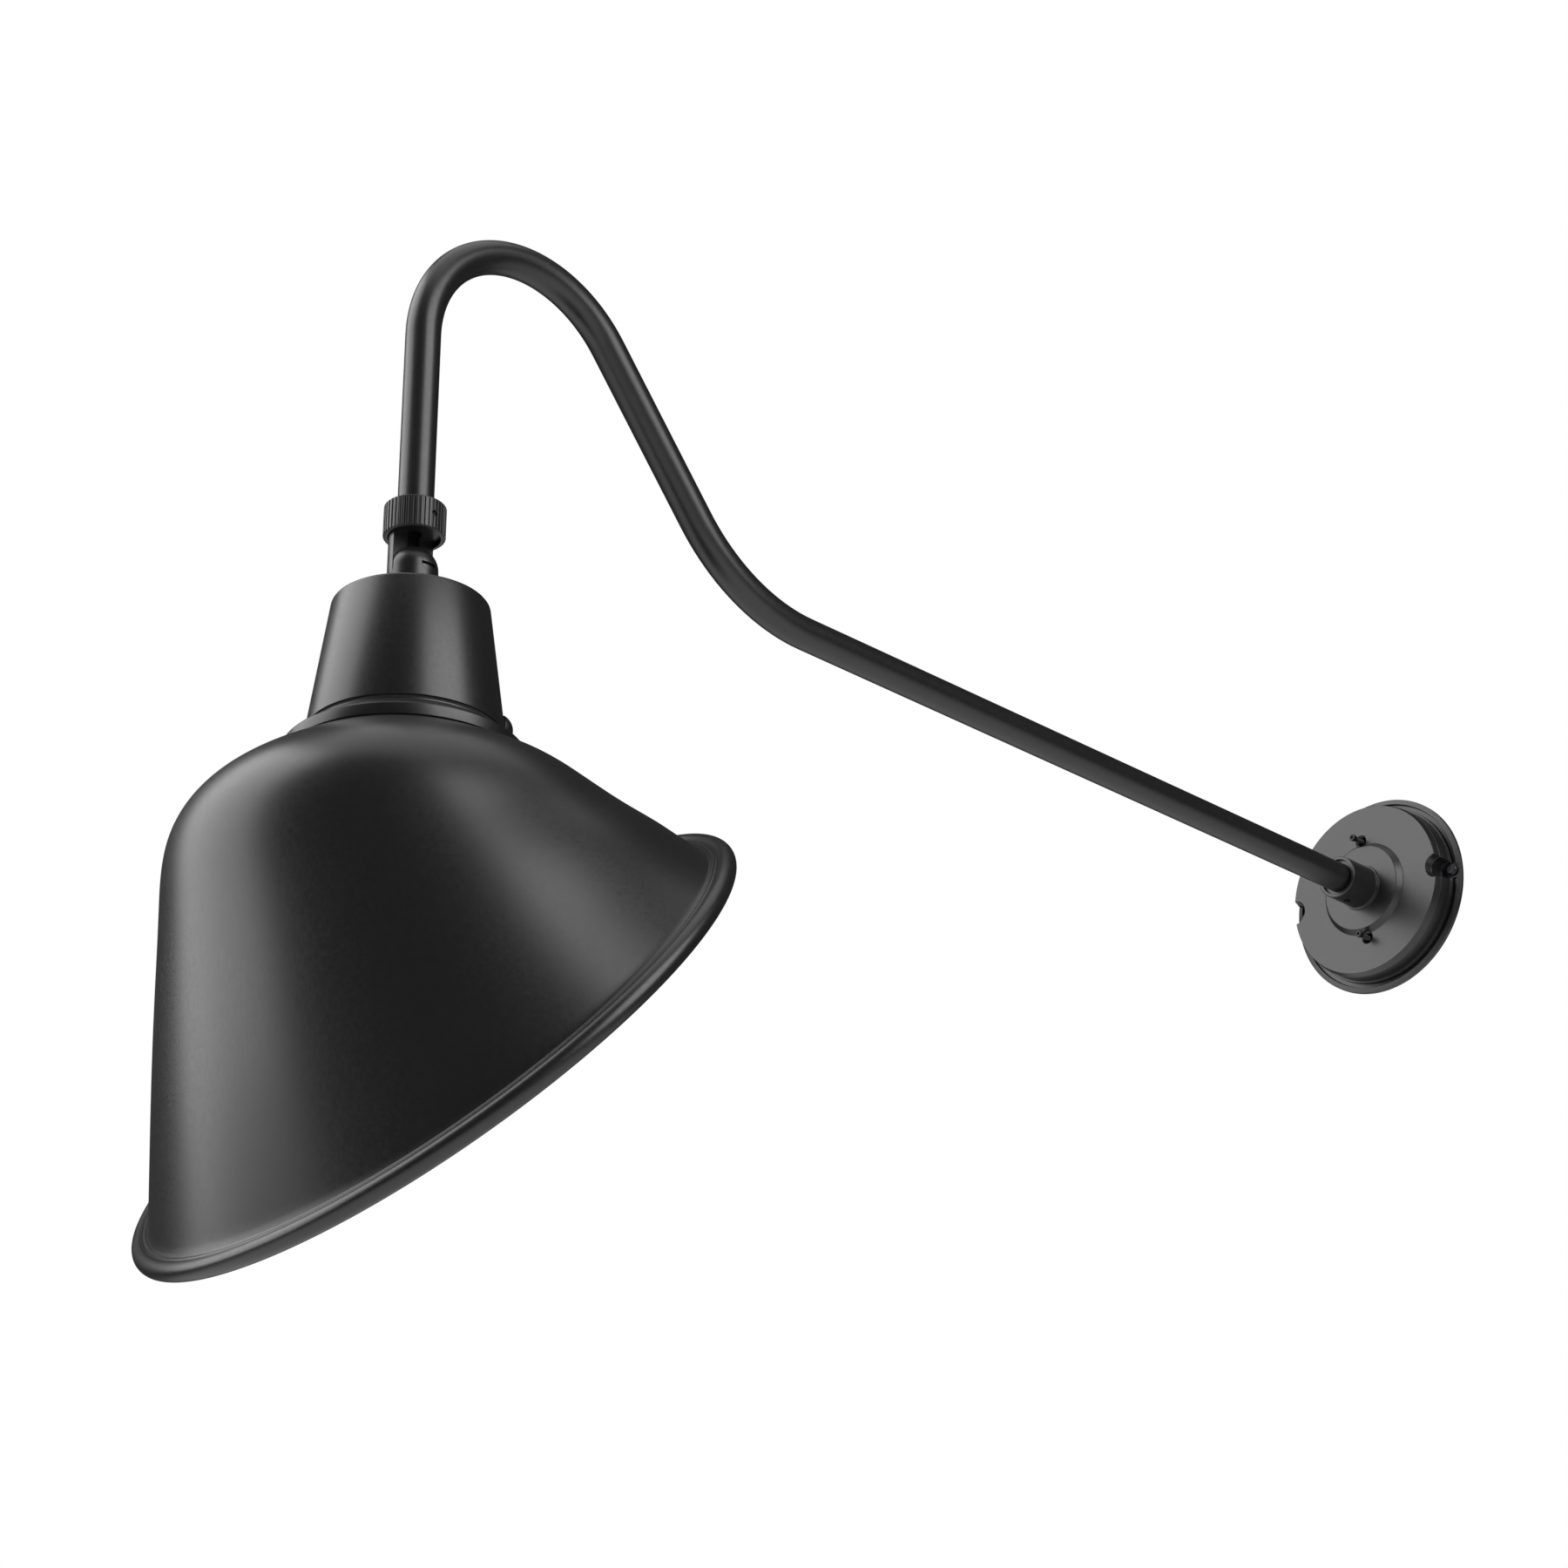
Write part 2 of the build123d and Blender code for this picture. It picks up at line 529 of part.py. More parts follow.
def make_hub_housing():
    outline = Polyline((0, HUB_TOP), (HUB_TOP_R, HUB_TOP), (HUB_BOTTOM_R, HUB_BOTTOM), (0, HUB_BOTTOM), close=True)
    face = make_face(outline)
    shoulder = face.vertices().sort_by(Axis.X)[-2:].sort_by(Axis.Y)[-1]
    face = fillet(shoulder, HUB_SHOULDER_R)
    cone = revolve(Plane.XZ * face, Axis.Z)
    roof = HUB_TOP - HUB_ROOF
    cavity = turned([
        (0, HUB_BOTTOM), (HUB_BOTTOM_R - HUB_WALL, HUB_BOTTOM), (hub_radius(roof) - HUB_WALL, roof), (0, roof)], "up")
    posts = [spot * post(HUB_POST_R, HUB_BOTTOM, HUB_BOTTOM + HUB_POST_H)
             for spot in around(HUB_SCREW_COUNT, HUB_SCREW_PCR)]
    hub = cone - cavity + (joined(posts) & cone)
    for spot in around(HUB_SCREW_COUNT, HUB_SCREW_PCR):
        hub -= spot * post(HUB_SCREW_R + SLIP_FIT, HUB_BOTTOM, HUB_BOTTOM + HUB_POST_H - HUB_WALL)
    hub -= post(KNUCKLE_SPIGOT_R + SLIP_FIT, roof, HUB_TOP)
    hub -= plug_place() * Cylinder(PLUG_STEM_R + SLIP_FIT, 4 * HUB_WALL)
    hub -= plug_place() * Pos(0, 0, PLUG_DOME / 2) * Cylinder(PLUG_R + SLIP_FIT, PLUG_DOME)
    return HEAD * hub


def make_hub_side_plug():
    dome_r = (PLUG_R ** 2 + PLUG_DOME ** 2) / (2 * PLUG_DOME)
    dome = (Pos(0, 0, PLUG_DOME - dome_r) * Sphere(dome_r)) & (Pos(0, 0, PLUG_DOME / 2) * Cylinder(PLUG_R, PLUG_DOME))
    stem = Pos(0, 0, -PLUG_STEM_L / 2) * Cylinder(PLUG_STEM_R, PLUG_STEM_L)
    return HEAD * plug_place() * (dome + stem)


def make_driver():
    foot = WEB_BOTTOM + FIN_H
    can = turned([
        (0, foot), (DRIVER_R - DRIVER_EDGE, foot), (DRIVER_R, foot + DRIVER_EDGE),
        (DRIVER_R, foot + DRIVER_H - DRIVER_EDGE), (DRIVER_R - DRIVER_EDGE, foot + DRIVER_H),
        (0, foot + DRIVER_H)], "up")
    return HEAD * can


def make_terminal_block():
    length, width, height = TERMINAL_SIZE
    top = WEB_BOTTOM + FIN_H + DRIVER_H
    block = Pos(0, 0, top + height / 2) * Box(length, width, height)
    for i in (-1, 0, 1):
        mouth = Pos(i * length / 3.4, 0, top + height / 2) * Rot(90, 0, 0) * Cylinder(1.8, width)
        screw_well = Pos(i * length / 3.4, 0, 0) * post(1.6, top + height * 0.6, top + height)
        block -= mouth + screw_well
    return HEAD * block


# Fitter ring and light engine

def make_hub_gasket():
    ring = post(HUB_BOTTOM_R - HUB_EDGE - FACE_GAP, FITTER_TOP, HUB_BOTTOM)
    return HEAD * (ring - post(HUB_GASKET_BORE_R, FITTER_TOP, HUB_BOTTOM))


def make_fitter_ring():
    slope_foot = FITTER_TOP - FITTER_SLOPE_H
    edge = FITTER_EDGE
    ring = turned([
        (FITTER_BORE_R, FITTER_TOP), (HUB_BOTTOM_R - HUB_EDGE, FITTER_TOP),
        (HUB_BOTTOM_R - HUB_EDGE, FITTER_TOP - edge), (FITTER_R - edge, slope_foot), (FITTER_R, slope_foot - edge),
        (FITTER_R, FITTER_BOTTOM), (FITTER_RECESS_R, FITTER_BOTTOM), (FITTER_RECESS_R, WEB_BOTTOM),
        (FITTER_BORE_R, WEB_BOTTOM)], "up")
    for spot in around(HUB_SCREW_COUNT, HUB_SCREW_PCR):
        ring -= spot * post(HUB_SCREW_R + SLIP_FIT, WEB_BOTTOM, FITTER_TOP)
        ring -= spot * post(HUB_SCREW_HEAD_R + FACE_GAP, WEB_BOTTOM, WEB_BOTTOM + HUB_SCREW_HEAD_H + FACE_GAP)
    for spot in around(CLAMP_SCREW_COUNT, CLAMP_SCREW_PCR, 45):
        ring -= spot * post(CLAMP_SCREW_R + SLIP_FIT, FITTER_BOTTOM, CLAMP_BOTTOM + CLAMP_SCREW_L + SLIP_FIT)
    return HEAD * ring


def make_hub_screws():
    head_top = WEB_BOTTOM + HUB_SCREW_HEAD_H + FACE_GAP
    screws = []
    for spot in around(HUB_SCREW_COUNT, HUB_SCREW_PCR):
        screw = post(HUB_SCREW_HEAD_R, WEB_BOTTOM + FACE_GAP, head_top)
        screw += post(HUB_SCREW_R, head_top, HUB_BOTTOM + HUB_POST_H - 2 * HUB_WALL)
        screws.append(HEAD * spot * screw)
    return Compound(children=screws)


def make_heat_sink():
    sink = post(SINK_R, SINK_BOTTOM, WEB_BOTTOM)
    fin_l = FIN_OUTER_R - FIN_INNER_R
    fin = Pos(0, 0, WEB_BOTTOM + FIN_H / 2) * Box(fin_l, FIN_T, FIN_H)
    for spot in around(FIN_COUNT, (FIN_INNER_R + FIN_OUTER_R) / 2):
        sink += spot * fin
    for spot in around(BEZEL_SCREW_COUNT, bezel_screw_pcr(), 60):
        sink -= spot * post(BEZEL_SCREW_R + SLIP_FIT, SINK_BOTTOM, WEB_BOTTOM)
    return HEAD * sink


def bezel_screw_pcr():
    return BEZEL_R - BEZEL_WALL / 2


def make_led_board():
    return HEAD * post(BOARD_R, BOARD_BOTTOM, SINK_BOTTOM)


def make_led_chips():
    length, width, height = CHIP_SIZE
    chips = []
    for count, radius in CHIP_RINGS:
        for spot in around(count, radius):
            chips.append(HEAD * spot * Pos(0, 0, BOARD_BOTTOM - height / 2) * Box(length, width, height))
    return Compound(children=chips)


def make_reflector():
    cone = turned([
        (REFLECTOR_TOP_R, BOARD_BOTTOM + BOARD_T), (REFLECTOR_TOP_R + REFLECTOR_T, BOARD_BOTTOM + BOARD_T),
        (REFLECTOR_FOOT_R + REFLECTOR_T, LENS_TOP), (REFLECTOR_FOOT_R, LENS_TOP)], "up")
    return HEAD * cone


def dome(base_r, height):
    """Cap of a sphere hanging below the plane Z = 0."""
    sphere_r = (base_r ** 2 + height ** 2) / (2 * height)
    return (Pos(0, 0, sphere_r - height) * Sphere(sphere_r)) & post(base_r, -height, 0)


def make_lens():
    shell = dome(LENS_DOME_R, LENS_DOME_H) - dome(LENS_DOME_R - LENS_T, LENS_DOME_H - LENS_T)
    rim = post(LENS_R, -LENS_T, 0) - post(LENS_DOME_R - LENS_T, -LENS_T, 0)
    return HEAD * Pos(0, 0, LENS_TOP) * (shell + rim)


def make_lens_bezel():
    ring = turned([
        (LENS_R + FACE_GAP, SINK_BOTTOM), (BEZEL_R, SINK_BOTTOM), (BEZEL_R, BEZEL_BOTTOM + BEZEL_EDGE),
        (BEZEL_R - BEZEL_EDGE, BEZEL_BOTTOM), (BEZEL_BORE_R, BEZEL_BOTTOM), (BEZEL_BORE_R, BEZEL_BOTTOM + BEZEL_LIP),
        (LENS_R + FACE_GAP, BEZEL_BOTTOM + BEZEL_LIP)], "up")
    for spot in around(BEZEL_SCREW_COUNT, bezel_screw_pcr(), 60):
        ring -= spot * post(BEZEL_SCREW_R + SLIP_FIT, BEZEL_BOTTOM, SINK_BOTTOM)
    return HEAD * ring


def make_bezel_screws():
    screws = []
    for spot in around(BEZEL_SCREW_COUNT, bezel_screw_pcr(), 60):
        screw = Rot(180, 0, 0) * pan_head(BEZEL_SCREW_HEAD_R, BEZEL_SCREW_HEAD_H, BEZEL_SCREW_R,
                                          SINK_BOTTOM - BEZEL_BOTTOM + SINK_T / 2)
        screws.append(HEAD * spot * Pos(0, 0, BEZEL_BOTTOM) * screw)
    return Compound(children=screws)


# Shade

def rim_centre(up):
    """Lean and height of the rim's centre, moved up along the rim's axis."""
    t = radians(RIM_TILT)
    return Vector(up * sin(t) - RIM_BEFORE_AXIS, TUBE_END - RIM_DROP + up * cos(t))


def edge_rows():
    """Lean and height of the far edge, the same for the wall-side edge, and half width, for each
    round section from the neck to the rim's flange."""
    across = Vector(cos(radians(RIM_TILT)), -sin(radians(RIM_TILT))) * RIM_FLANGE_R
    far = rim_centre(RIM_FLANGE_UP) + across
    near = rim_centre(RIM_FLANGE_UP) - across
    rows = [(FITTER_R, SHADE_TOP, -FITTER_R, SHADE_TOP, FITTER_R)]
    for far_lean, far_drop, near_lean, near_drop, width in SHADE_SECTIONS:
        rows.append((far_lean, SHADE_TOP - far_drop, near_lean, SHADE_TOP - near_drop, width))
    return rows + [(far.X, far.Y, near.X, near.Y, RIM_FLANGE_R)]


def spline_bends(values):
    """How sharply a smooth line with free ends bends at each of its evenly spaced values."""
    ease = [0.0]
    pull = [0.0]
    for before, here, after in zip(values, values[1:], values[2:]):
        ease.append(1 / (4 - ease[-1]))
        pull.append((6 * (after - 2 * here + before) - pull[-1]) * ease[-1])
    bends = [0.0]
    for ease_here, pull_here in zip(ease[:0:-1], pull[:0:-1]):
        bends.insert(0, pull_here - ease_here * bends[0])
    return [0.0] + bends


def spline_at(values, bends, place):
    """Value on the smooth line at a place counted in steps, whole or between two."""
    i = min(int(place), len(values) - 2)
    after = place - i
    before = 1 - after
    straight = before * values[i] + after * values[i + 1]
    return straight + ((before ** 3 - before) * bends[i] + (after ** 3 - after) * bends[i + 1]) / 6


def shade_sections(inset):
    """Far edge, wall-side edge and half width of each section, moved in by a wall's thickness. Inset
    sections start under the neck's flat and run on past the rim's flange."""
    columns = list(zip(*edge_rows()))
    bends = [spline_bends(column) for column in columns]
    last = len(SHADE_SECTIONS) + 1
    rows = []
    for i in range(SHADE_STATIONS + 1):
        place = last * i / SHADE_STATIONS
        here = [spline_at(column, bend, place) for column, bend in zip(columns, bends)]
        before = [spline_at(column, bend, max(place - SLOPE_STEP, 0)) for column, bend in zip(columns, bends)]
        after = [spline_at(column, bend, min(place + SLOPE_STEP, last)) for column, bend in zip(columns, bends)]
        far, near = Vector(*here[:2]), Vector(*here[2:4])
        far_along = (Vector(*after[:2]) - Vector(*before[:2])).normalized()
        near_along = (Vector(*after[2:4]) - Vector(*before[2:4])).normalized()
        far_in = far + Vector(far_along.Y, -far_along.X) * inset
        near_in = near - Vector(near_along.Y, -near_along.X) * inset
        if inset and i == SHADE_STATIONS:
            flat = (far - near).normalized()
            far_in = far - flat * (inset / abs(far_along.X * flat.Y - far_along.Y * flat.X))
            near_in = near + flat * (inset / abs(near_along.X * flat.Y - near_along.Y * flat.X))
            far_in += far_along * 2 * inset
            near_in += near_along * 2 * inset
        lost = ((far - near).length - (far_in - near_in).length) / 2
        rows.append((far_in, near_in, here[4] - lost))
    if inset:
        mouth_r = FITTER_R - 0.4 * inset
        rows[0] = (Vector(mouth_r, SHADE_TOP - inset), Vector(-mouth_r, SHADE_TOP - inset), mouth_r)
    return rows


def skin(rows):
    """Solid through sections given by their two edges and half widths, as two lofts that meet. The
    first and last section are round."""
    faces = []
    for far, near, width in rows:
        middle = (far + near) / 2
        along = (far - near).normalized()
        half = (far - near).length / 2
        place = Plane(origin=(0, -REACH - middle.X, middle.Y), x_dir=(1, 0, 0), z_dir=(0, -along.Y, -along.X))
        faces.append(place * (Ellipse(width, half) if width > half else Circle(half)))
    meet = len(faces) // 2
    return loft(faces[:meet + 1]) + loft(faces[meet:])


def rim_place():
    """The rim's plane: its X lies across the lamp, its Z points out of the shade's mouth."""
    t = radians(RIM_TILT)
    centre = rim_centre(0)
    return Plane(origin=(0, -REACH - centre.X, centre.Y), x_dir=(1, 0, 0), z_dir=(0, sin(t), -cos(t)))


def make_shade_rim():
    """Flat flange with two ridges and a rolled bead, turned about the rim's axis."""
    face = SHADE_T - RIM_FLANGE_UP
    flange_in = RIM_FLANGE_R - SHADE_T
    profile = make_face(Polyline((flange_in, -RIM_FLANGE_UP), (RIM_R, -RIM_FLANGE_UP), (RIM_R, face),
                                 (flange_in, face), close=True))
    for i in (0, 1):
        profile += Pos(RIM_FLANGE_R + (i + 0.5) * RIDGE_PITCH, RIDGE_R / 2 - RIM_FLANGE_UP) * Circle(RIDGE_R)
    roll = Pos(RIM_R, 0) * (Circle(RIM_BEAD_R) - Circle(RIM_BEAD_R - SHADE_T))
    mouth = [(0, 0)]
    for angle in (BEAD_GAP_FROM, BEAD_GAP_TO):
        mouth.append((-2 * RIM_BEAD_R * cos(radians(angle)), -2 * RIM_BEAD_R * sin(radians(angle))))
    roll -= Pos(RIM_R, 0) * make_face(Polyline(*mouth, close=True))
    ring = revolve(Plane.XZ * (profile + roll), Axis.Z)
    return rim_place().location * ring


def make_shade():
    shell = skin(shade_sections(0)) - skin(shade_sections(SHADE_T))
    shell -= HEAD * post(SHADE_BORE_R, SHADE_TOP - 2 * SHADE_T, SHADE_TOP)
    for spot in around(CLAMP_SCREW_COUNT, CLAMP_SCREW_PCR, 45):
        shell -= HEAD * spot * post(CLAMP_SCREW_R + SLIP_FIT, CLAMP_TOP - SHADE_T, SHADE_TOP)
    return shell


def make_shade_gasket():
    ring = post(FITTER_R - FITTER_EDGE, SHADE_TOP, FITTER_BOTTOM) - post(SHADE_BORE_R, SHADE_TOP, FITTER_BOTTOM)
    for spot in around(CLAMP_SCREW_COUNT, CLAMP_SCREW_PCR, 45):
        ring -= spot * post(CLAMP_SCREW_R + SLIP_FIT, SHADE_TOP, FITTER_BOTTOM)
    return HEAD * ring


def make_clamp_ring():
    ring = post(CLAMP_R, CLAMP_BOTTOM, CLAMP_TOP) - post(CLAMP_BORE_R, CLAMP_BOTTOM, CLAMP_TOP)
    for spot in around(CLAMP_SCREW_COUNT, CLAMP_SCREW_PCR, 45):
        ring -= spot * post(CLAMP_SCREW_R + SLIP_FIT, CLAMP_BOTTOM, CLAMP_TOP)
    return HEAD * ring


def make_clamp_screws():
    screws = []
    for spot in around(CLAMP_SCREW_COUNT, CLAMP_SCREW_PCR, 45):
        screw = Rot(180, 0, 0) * pan_head(CLAMP_SCREW_HEAD_R, CLAMP_SCREW_HEAD_H, CLAMP_SCREW_R, CLAMP_SCREW_L)
        screws.append(HEAD * spot * Pos(0, 0, CLAMP_BOTTOM) * screw)
    return Compound(children=screws)


PARTS = {
    "wall_gasket": make_wall_gasket,
    "back_plate": make_back_plate,
    "ground_screw": make_ground_screw,
    "flange_screws": make_flange_screws,
    "canopy_cover": make_canopy_cover,
    "cover_screws": make_cover_screws,
    "socket_set_screw": make_socket_set_screw,
    "arm_tube": make_arm_tube,
    "knurled_collar": make_knurled_collar,
    "collar_set_screw": make_collar_set_screw,
    "swivel_upper": make_swivel_upper,
    "pivot_screw": make_pivot_screw,
    "friction_washer": make_friction_washer,
    "knuckle": make_knuckle,
    "knuckle_seal": make_knuckle_seal,
    "hub_locknut": make_hub_locknut,
    "hub_housing": make_hub_housing,
    "hub_side_plug": make_hub_side_plug,
    "led_driver": make_driver,
    "terminal_block": make_terminal_block,
    "hub_gasket": make_hub_gasket,
    "fitter_ring": make_fitter_ring,
    "hub_screws": make_hub_screws,
    "heat_sink": make_heat_sink,
    "led_board": make_led_board,
    "led_chips": make_led_chips,
    "reflector": make_reflector,
    "lens": make_lens,
    "lens_bezel": make_lens_bezel,
    "bezel_screws": make_bezel_screws,
    "shade_gasket": make_shade_gasket,
    "shade": make_shade,
    "shade_rim": make_shade_rim,
    "clamp_ring": make_clamp_ring,
    "clamp_screws": make_clamp_screws,
}

os.makedirs("parts", exist_ok=True)
for name, make in PARTS.items():
    export_step(make(), f"parts/{name}.step")
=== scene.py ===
import bpy
import bmesh
import json
import numpy as np
from math import asin, atan2, cos, pi, radians, sin, sqrt, tan
from mathutils import Matrix, Vector


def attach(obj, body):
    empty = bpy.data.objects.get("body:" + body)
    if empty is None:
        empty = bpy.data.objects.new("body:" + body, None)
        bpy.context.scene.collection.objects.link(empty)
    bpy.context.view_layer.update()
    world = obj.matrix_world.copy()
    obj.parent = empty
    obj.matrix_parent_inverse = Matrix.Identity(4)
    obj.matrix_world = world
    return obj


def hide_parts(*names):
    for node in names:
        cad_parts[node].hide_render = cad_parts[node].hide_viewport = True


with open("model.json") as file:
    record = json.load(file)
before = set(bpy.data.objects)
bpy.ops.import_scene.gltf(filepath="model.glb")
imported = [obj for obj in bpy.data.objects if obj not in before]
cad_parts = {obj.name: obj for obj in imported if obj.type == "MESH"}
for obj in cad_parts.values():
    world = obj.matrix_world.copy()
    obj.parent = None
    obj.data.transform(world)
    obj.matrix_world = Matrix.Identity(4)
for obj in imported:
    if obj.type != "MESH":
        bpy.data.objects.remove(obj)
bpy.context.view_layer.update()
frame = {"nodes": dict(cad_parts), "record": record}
NODES = frame["nodes"]
BODY_OF = {node: body for body, nodes in frame["record"]["behaviour"]["bodies"].items() for node in nodes}
SLOT_OF = {row["node"]: row["material_slot"] for row in frame["record"]["subparts"]}

# Sizes, in millimetres. The lamp's origin is where the arm's axis meets the wall, -Y is out and +Z is up.
MM = 0.001

# Arm: level run, upward bend, straight rise, then the bend over to the drop
TUBE_R = 21.34 / 2
TUBE_WALL = 2.77
TUBE_START = 24.5
ARM_LEVEL = 606.0
ARM_RISE_ANGLE = radians(50)
ARM_RISE = 120.0
BEND_1_R = 127.3
BEND_2_R = 83.9
ARM_DROP = 130.7
REACH = (ARM_LEVEL + (BEND_1_R + BEND_2_R) * sin(ARM_RISE_ANGLE)
         + ARM_RISE * cos(ARM_RISE_ANGLE) + BEND_2_R)
TUBE_END = (BEND_1_R * (1 - cos(ARM_RISE_ANGLE)) + ARM_RISE * sin(ARM_RISE_ANGLE)
            - BEND_2_R * cos(ARM_RISE_ANGLE) - ARM_DROP)

# Collar round the pipe's end
COLLAR_TOP = TUBE_END + 13.4
COLLAR_H = 20.4
COLLAR_R = 18.3
KNURL_DEPTH = 0.75
KNURL_COUNT = 40
RIB_SHARE = 0.31
COLLAR_SCREW_Z = COLLAR_TOP - COLLAR_H / 2
COLLAR_SCREW_R = 1.85

# Swivel
PIVOT_Z = TUBE_END - 28.8
SWIVEL_R = 14.9
SWIVEL_FLANGE_R = 16.2
SWIVEL_FLANGE_H = 3.7
SPIGOT_R = 7.6
SPIGOT_H = 17.0
SWIVEL_BORE_R = 4.5
LAP = 0.4
PIVOT_R = 3.0
PIVOT_HEAD_R = 4.8
PIVOT_SEAT = sqrt(SWIVEL_R ** 2 - PIVOT_HEAD_R ** 2) - 4.4
PIVOT_TIP = -12.0
KNUCKLE_STEM_R = 9.0
KNUCKLE_STEM_H = 13.6

# Hub and fitter ring
HUB_TOP = TUBE_END - 52.2
HUB_HEIGHT = 82.4
HUB_BOTTOM = HUB_TOP - HUB_HEIGHT
HUB_TOP_R = 45.8
HUB_FOOT_R = 57.0
HUB_CROWN = 5.0
PLUG_R = 9.3
PLUG_BULGE = 6.2
FITTER_TOP = HUB_BOTTOM - 1.5
FITTER_H = 16.7
FITTER_BOTTOM = FITTER_TOP - FITTER_H
FITTER_LEDGE = 4.7
FITTER_NECK_R = 56.3
NECK_R = 69.5
NECK_HOLE_R = 60.5

# Lens
LENS_TOP = FITTER_TOP - 2 * FITTER_LEDGE - 1.6 - 7.0
LENS_R = 48.6
LENS_FLANGE_R = 52.6
LENS_T = 2.0
LENS_DEPTH = 15.0

# Shade: its rim's middle lies behind the head's axis by RIM_LEAN and below the pipe's end by RIM_DROP
SHADE_TOP = FITTER_BOTTOM - 1.0
SHADE_T = 1.6
RIM_TILT = radians(50)
RIM_LEAN = -29.5
RIM_DROP = 316.0
RIM_R = 193.2
RIM_BEAD_R = 5.8
RIM_FLANGE_R = RIM_R - 7.4
RIM_FLANGE_UP = 5.2

# Canopy: heights are measured out from the wall
GASKET_FACE = 1.5
GASKET_R = 73.0
GASKET_HOLE_R = 34.0
SEAT_FACE = 4.4
FLANGE_FACE = 5.2
FLANGE_R = 74.4
GROOVE_FLOOR = 2.8
GROOVE_IN_R = 65.8
GROOVE_OUT_R = 70.2
WIRE_HOLE_R = 22.0
COVER_R = 65.6
COVER_FACE = 21.9
COVER_HOLLOW_R = 62.2
COVER_WALL = 3.4
TIER_FOOT = COVER_FACE - 5.5
LIP_TOP = SEAT_FACE + 1.1
BOSS_FACE = 26.0
SOCKET_R = 15.7
SOCKET_END = 54.6
NOTCH_X = 64.2
NOTCH_R = 7.6
COVER_SCREW_Z = 38.4
COVER_SCREW_TIP = 32.9
COVER_SCREW_R = 2.0
THREAD_PITCH = 0.7
FLANGE_SCREW_X = 67.0
FLANGE_SCREW_HOLE_R = 2.3
BOX_SCREW_X = 44.45
BOX_SCREW_HOLE_R = 2.6
EARTH_SCREW_SPOT = (-26.0, 22.0)

# Places that pieces are turned about
HEAD_SPOT = (0.0, -REACH * MM, 0.0)
HEAD = Matrix.Translation(HEAD_SPOT)
WALL = Matrix.Rotation(radians(90), 4, "X")
# How far a cutting box reaches past the swivel's middle
BEYOND = 40.0


# Small tools

def from_hex(code):
    """Linear colour from an sRGB hex value."""
    parts = [int(code[i:i + 2], 16) / 255 for i in (0, 2, 4)]
    return tuple(c / 12.92 if c <= 0.04045 else ((c + 0.055) / 1.055) ** 2.4 for c in parts) + (1.0,)


def add(tree, kind, sockets=None, **settings):
    """One node, with its settings; a socket takes a value or another node's output."""
    node = tree.nodes.new(kind)
    for name, value in settings.items():
        setattr(node, name, value)
    for key, value in (sockets or {}).items():
        if isinstance(value, bpy.types.NodeSocket):
            tree.links.new(value, node.inputs[key])
        else:
            node.inputs[key].default_value = value
    return node


def shown(obj):
    """Puts a new object into the scene."""
    bpy.context.scene.collection.objects.link(obj)
    return obj


# Materials

WHITE = (1.0, 1.0, 1.0, 1.0)
PATCHES_PER_METRE = 11.0


def finish(name, hex_low, hex_high, rough, grain_mm, bump_mm, **shader):
    """A surface whose colour drifts a little over patches and whose gloss follows a fine grain."""
    material = bpy.data.materials.new(name)
    material.use_nodes = True
    tree = material.node_tree
    tree.nodes.clear()
    place = add(tree, "ShaderNodeTexCoord").outputs["Object"]
    patches = add(tree, "ShaderNodeTexNoise", {
        "Vector": place, "Scale": PATCHES_PER_METRE, "Detail": 3.0, "Roughness": 0.55})
    grain = add(tree, "ShaderNodeTexNoise", {
        "Vector": place, "Scale": 1000.0 / grain_mm, "Detail": 2.0, "Roughness": 0.6})
    colour = add(tree, "ShaderNodeMix", {"Factor": patches.outputs["Fac"]}, data_type="RGBA")
    colour.inputs[6].default_value = from_hex(hex_low)
    colour.inputs[7].default_value = from_hex(hex_high)
    gloss = add(tree, "ShaderNodeMapRange", {
        "Value": grain.outputs["Fac"], "From Min": 0.3, "From Max": 0.7,
        "To Min": rough[0], "To Max": rough[1]})
    bump = add(tree, "ShaderNodeBump", {
        "Height": grain.outputs["Fac"], "Strength": 1.0, "Distance": bump_mm * MM})
    body = add(tree, "ShaderNodeBsdfPrincipled", {
        "Base Color": colour.outputs[2], "Roughness": gloss.outputs["Result"],
        "Normal": bump.outputs["Normal"]})
    for key, value in shader.items():
        body.inputs[key.replace("_", " ")].default_value = value
    tree.links.new(body.outputs["BSDF"], add(tree, "ShaderNodeOutputMaterial").inputs["Surface"])
    return material


# Polyester powder coat, satin black, sprayed and baked on steel: even soft gloss with a faint
# orange peel of about 2 mm, drawn a little coarser than life.
POWDER_COAT = finish("satin_black_powder_coat", "131314", "19191A", (0.31, 0.37), 2.4, 0.012,
                     Specular_IOR_Level=0.5)
# Vitreous white reflector enamel inside the shade: bright, slightly glossy.
REFLECTOR_ENAMEL = finish("white_reflector_enamel", "E4E3DE", "EDECE8", (0.30, 0.38), 3.0, 0.010)
# Black-oxide carbon steel screws: dark, a little metallic and oily.
BLACK_OXIDE = finish("black_oxide_steel", "17171A", "232327", (0.30, 0.42), 0.8, 0.006, Metallic=0.6)
# Closed-cell EPDM foam gaskets: dead matt with open pores.
FOAM_RUBBER = finish("epdm_foam_rubber", "0C0C0D", "161617", (0.80, 0.95), 0.9, 0.05)
# Bright zinc-plated steel: cool and slightly cloudy.
ZINC_PLATE = finish("zinc_plated_steel", "A9ABAE", "BFC1C3", (0.26, 0.40), 1.2, 0.004, Metallic=1.0)
# Turned brass earth screw: warm and fairly glossy metal.
TURNED_BRASS = finish("turned_brass", "A8894A", "B9994F", (0.25, 0.36), 1.0, 0.004, Metallic=1.0)
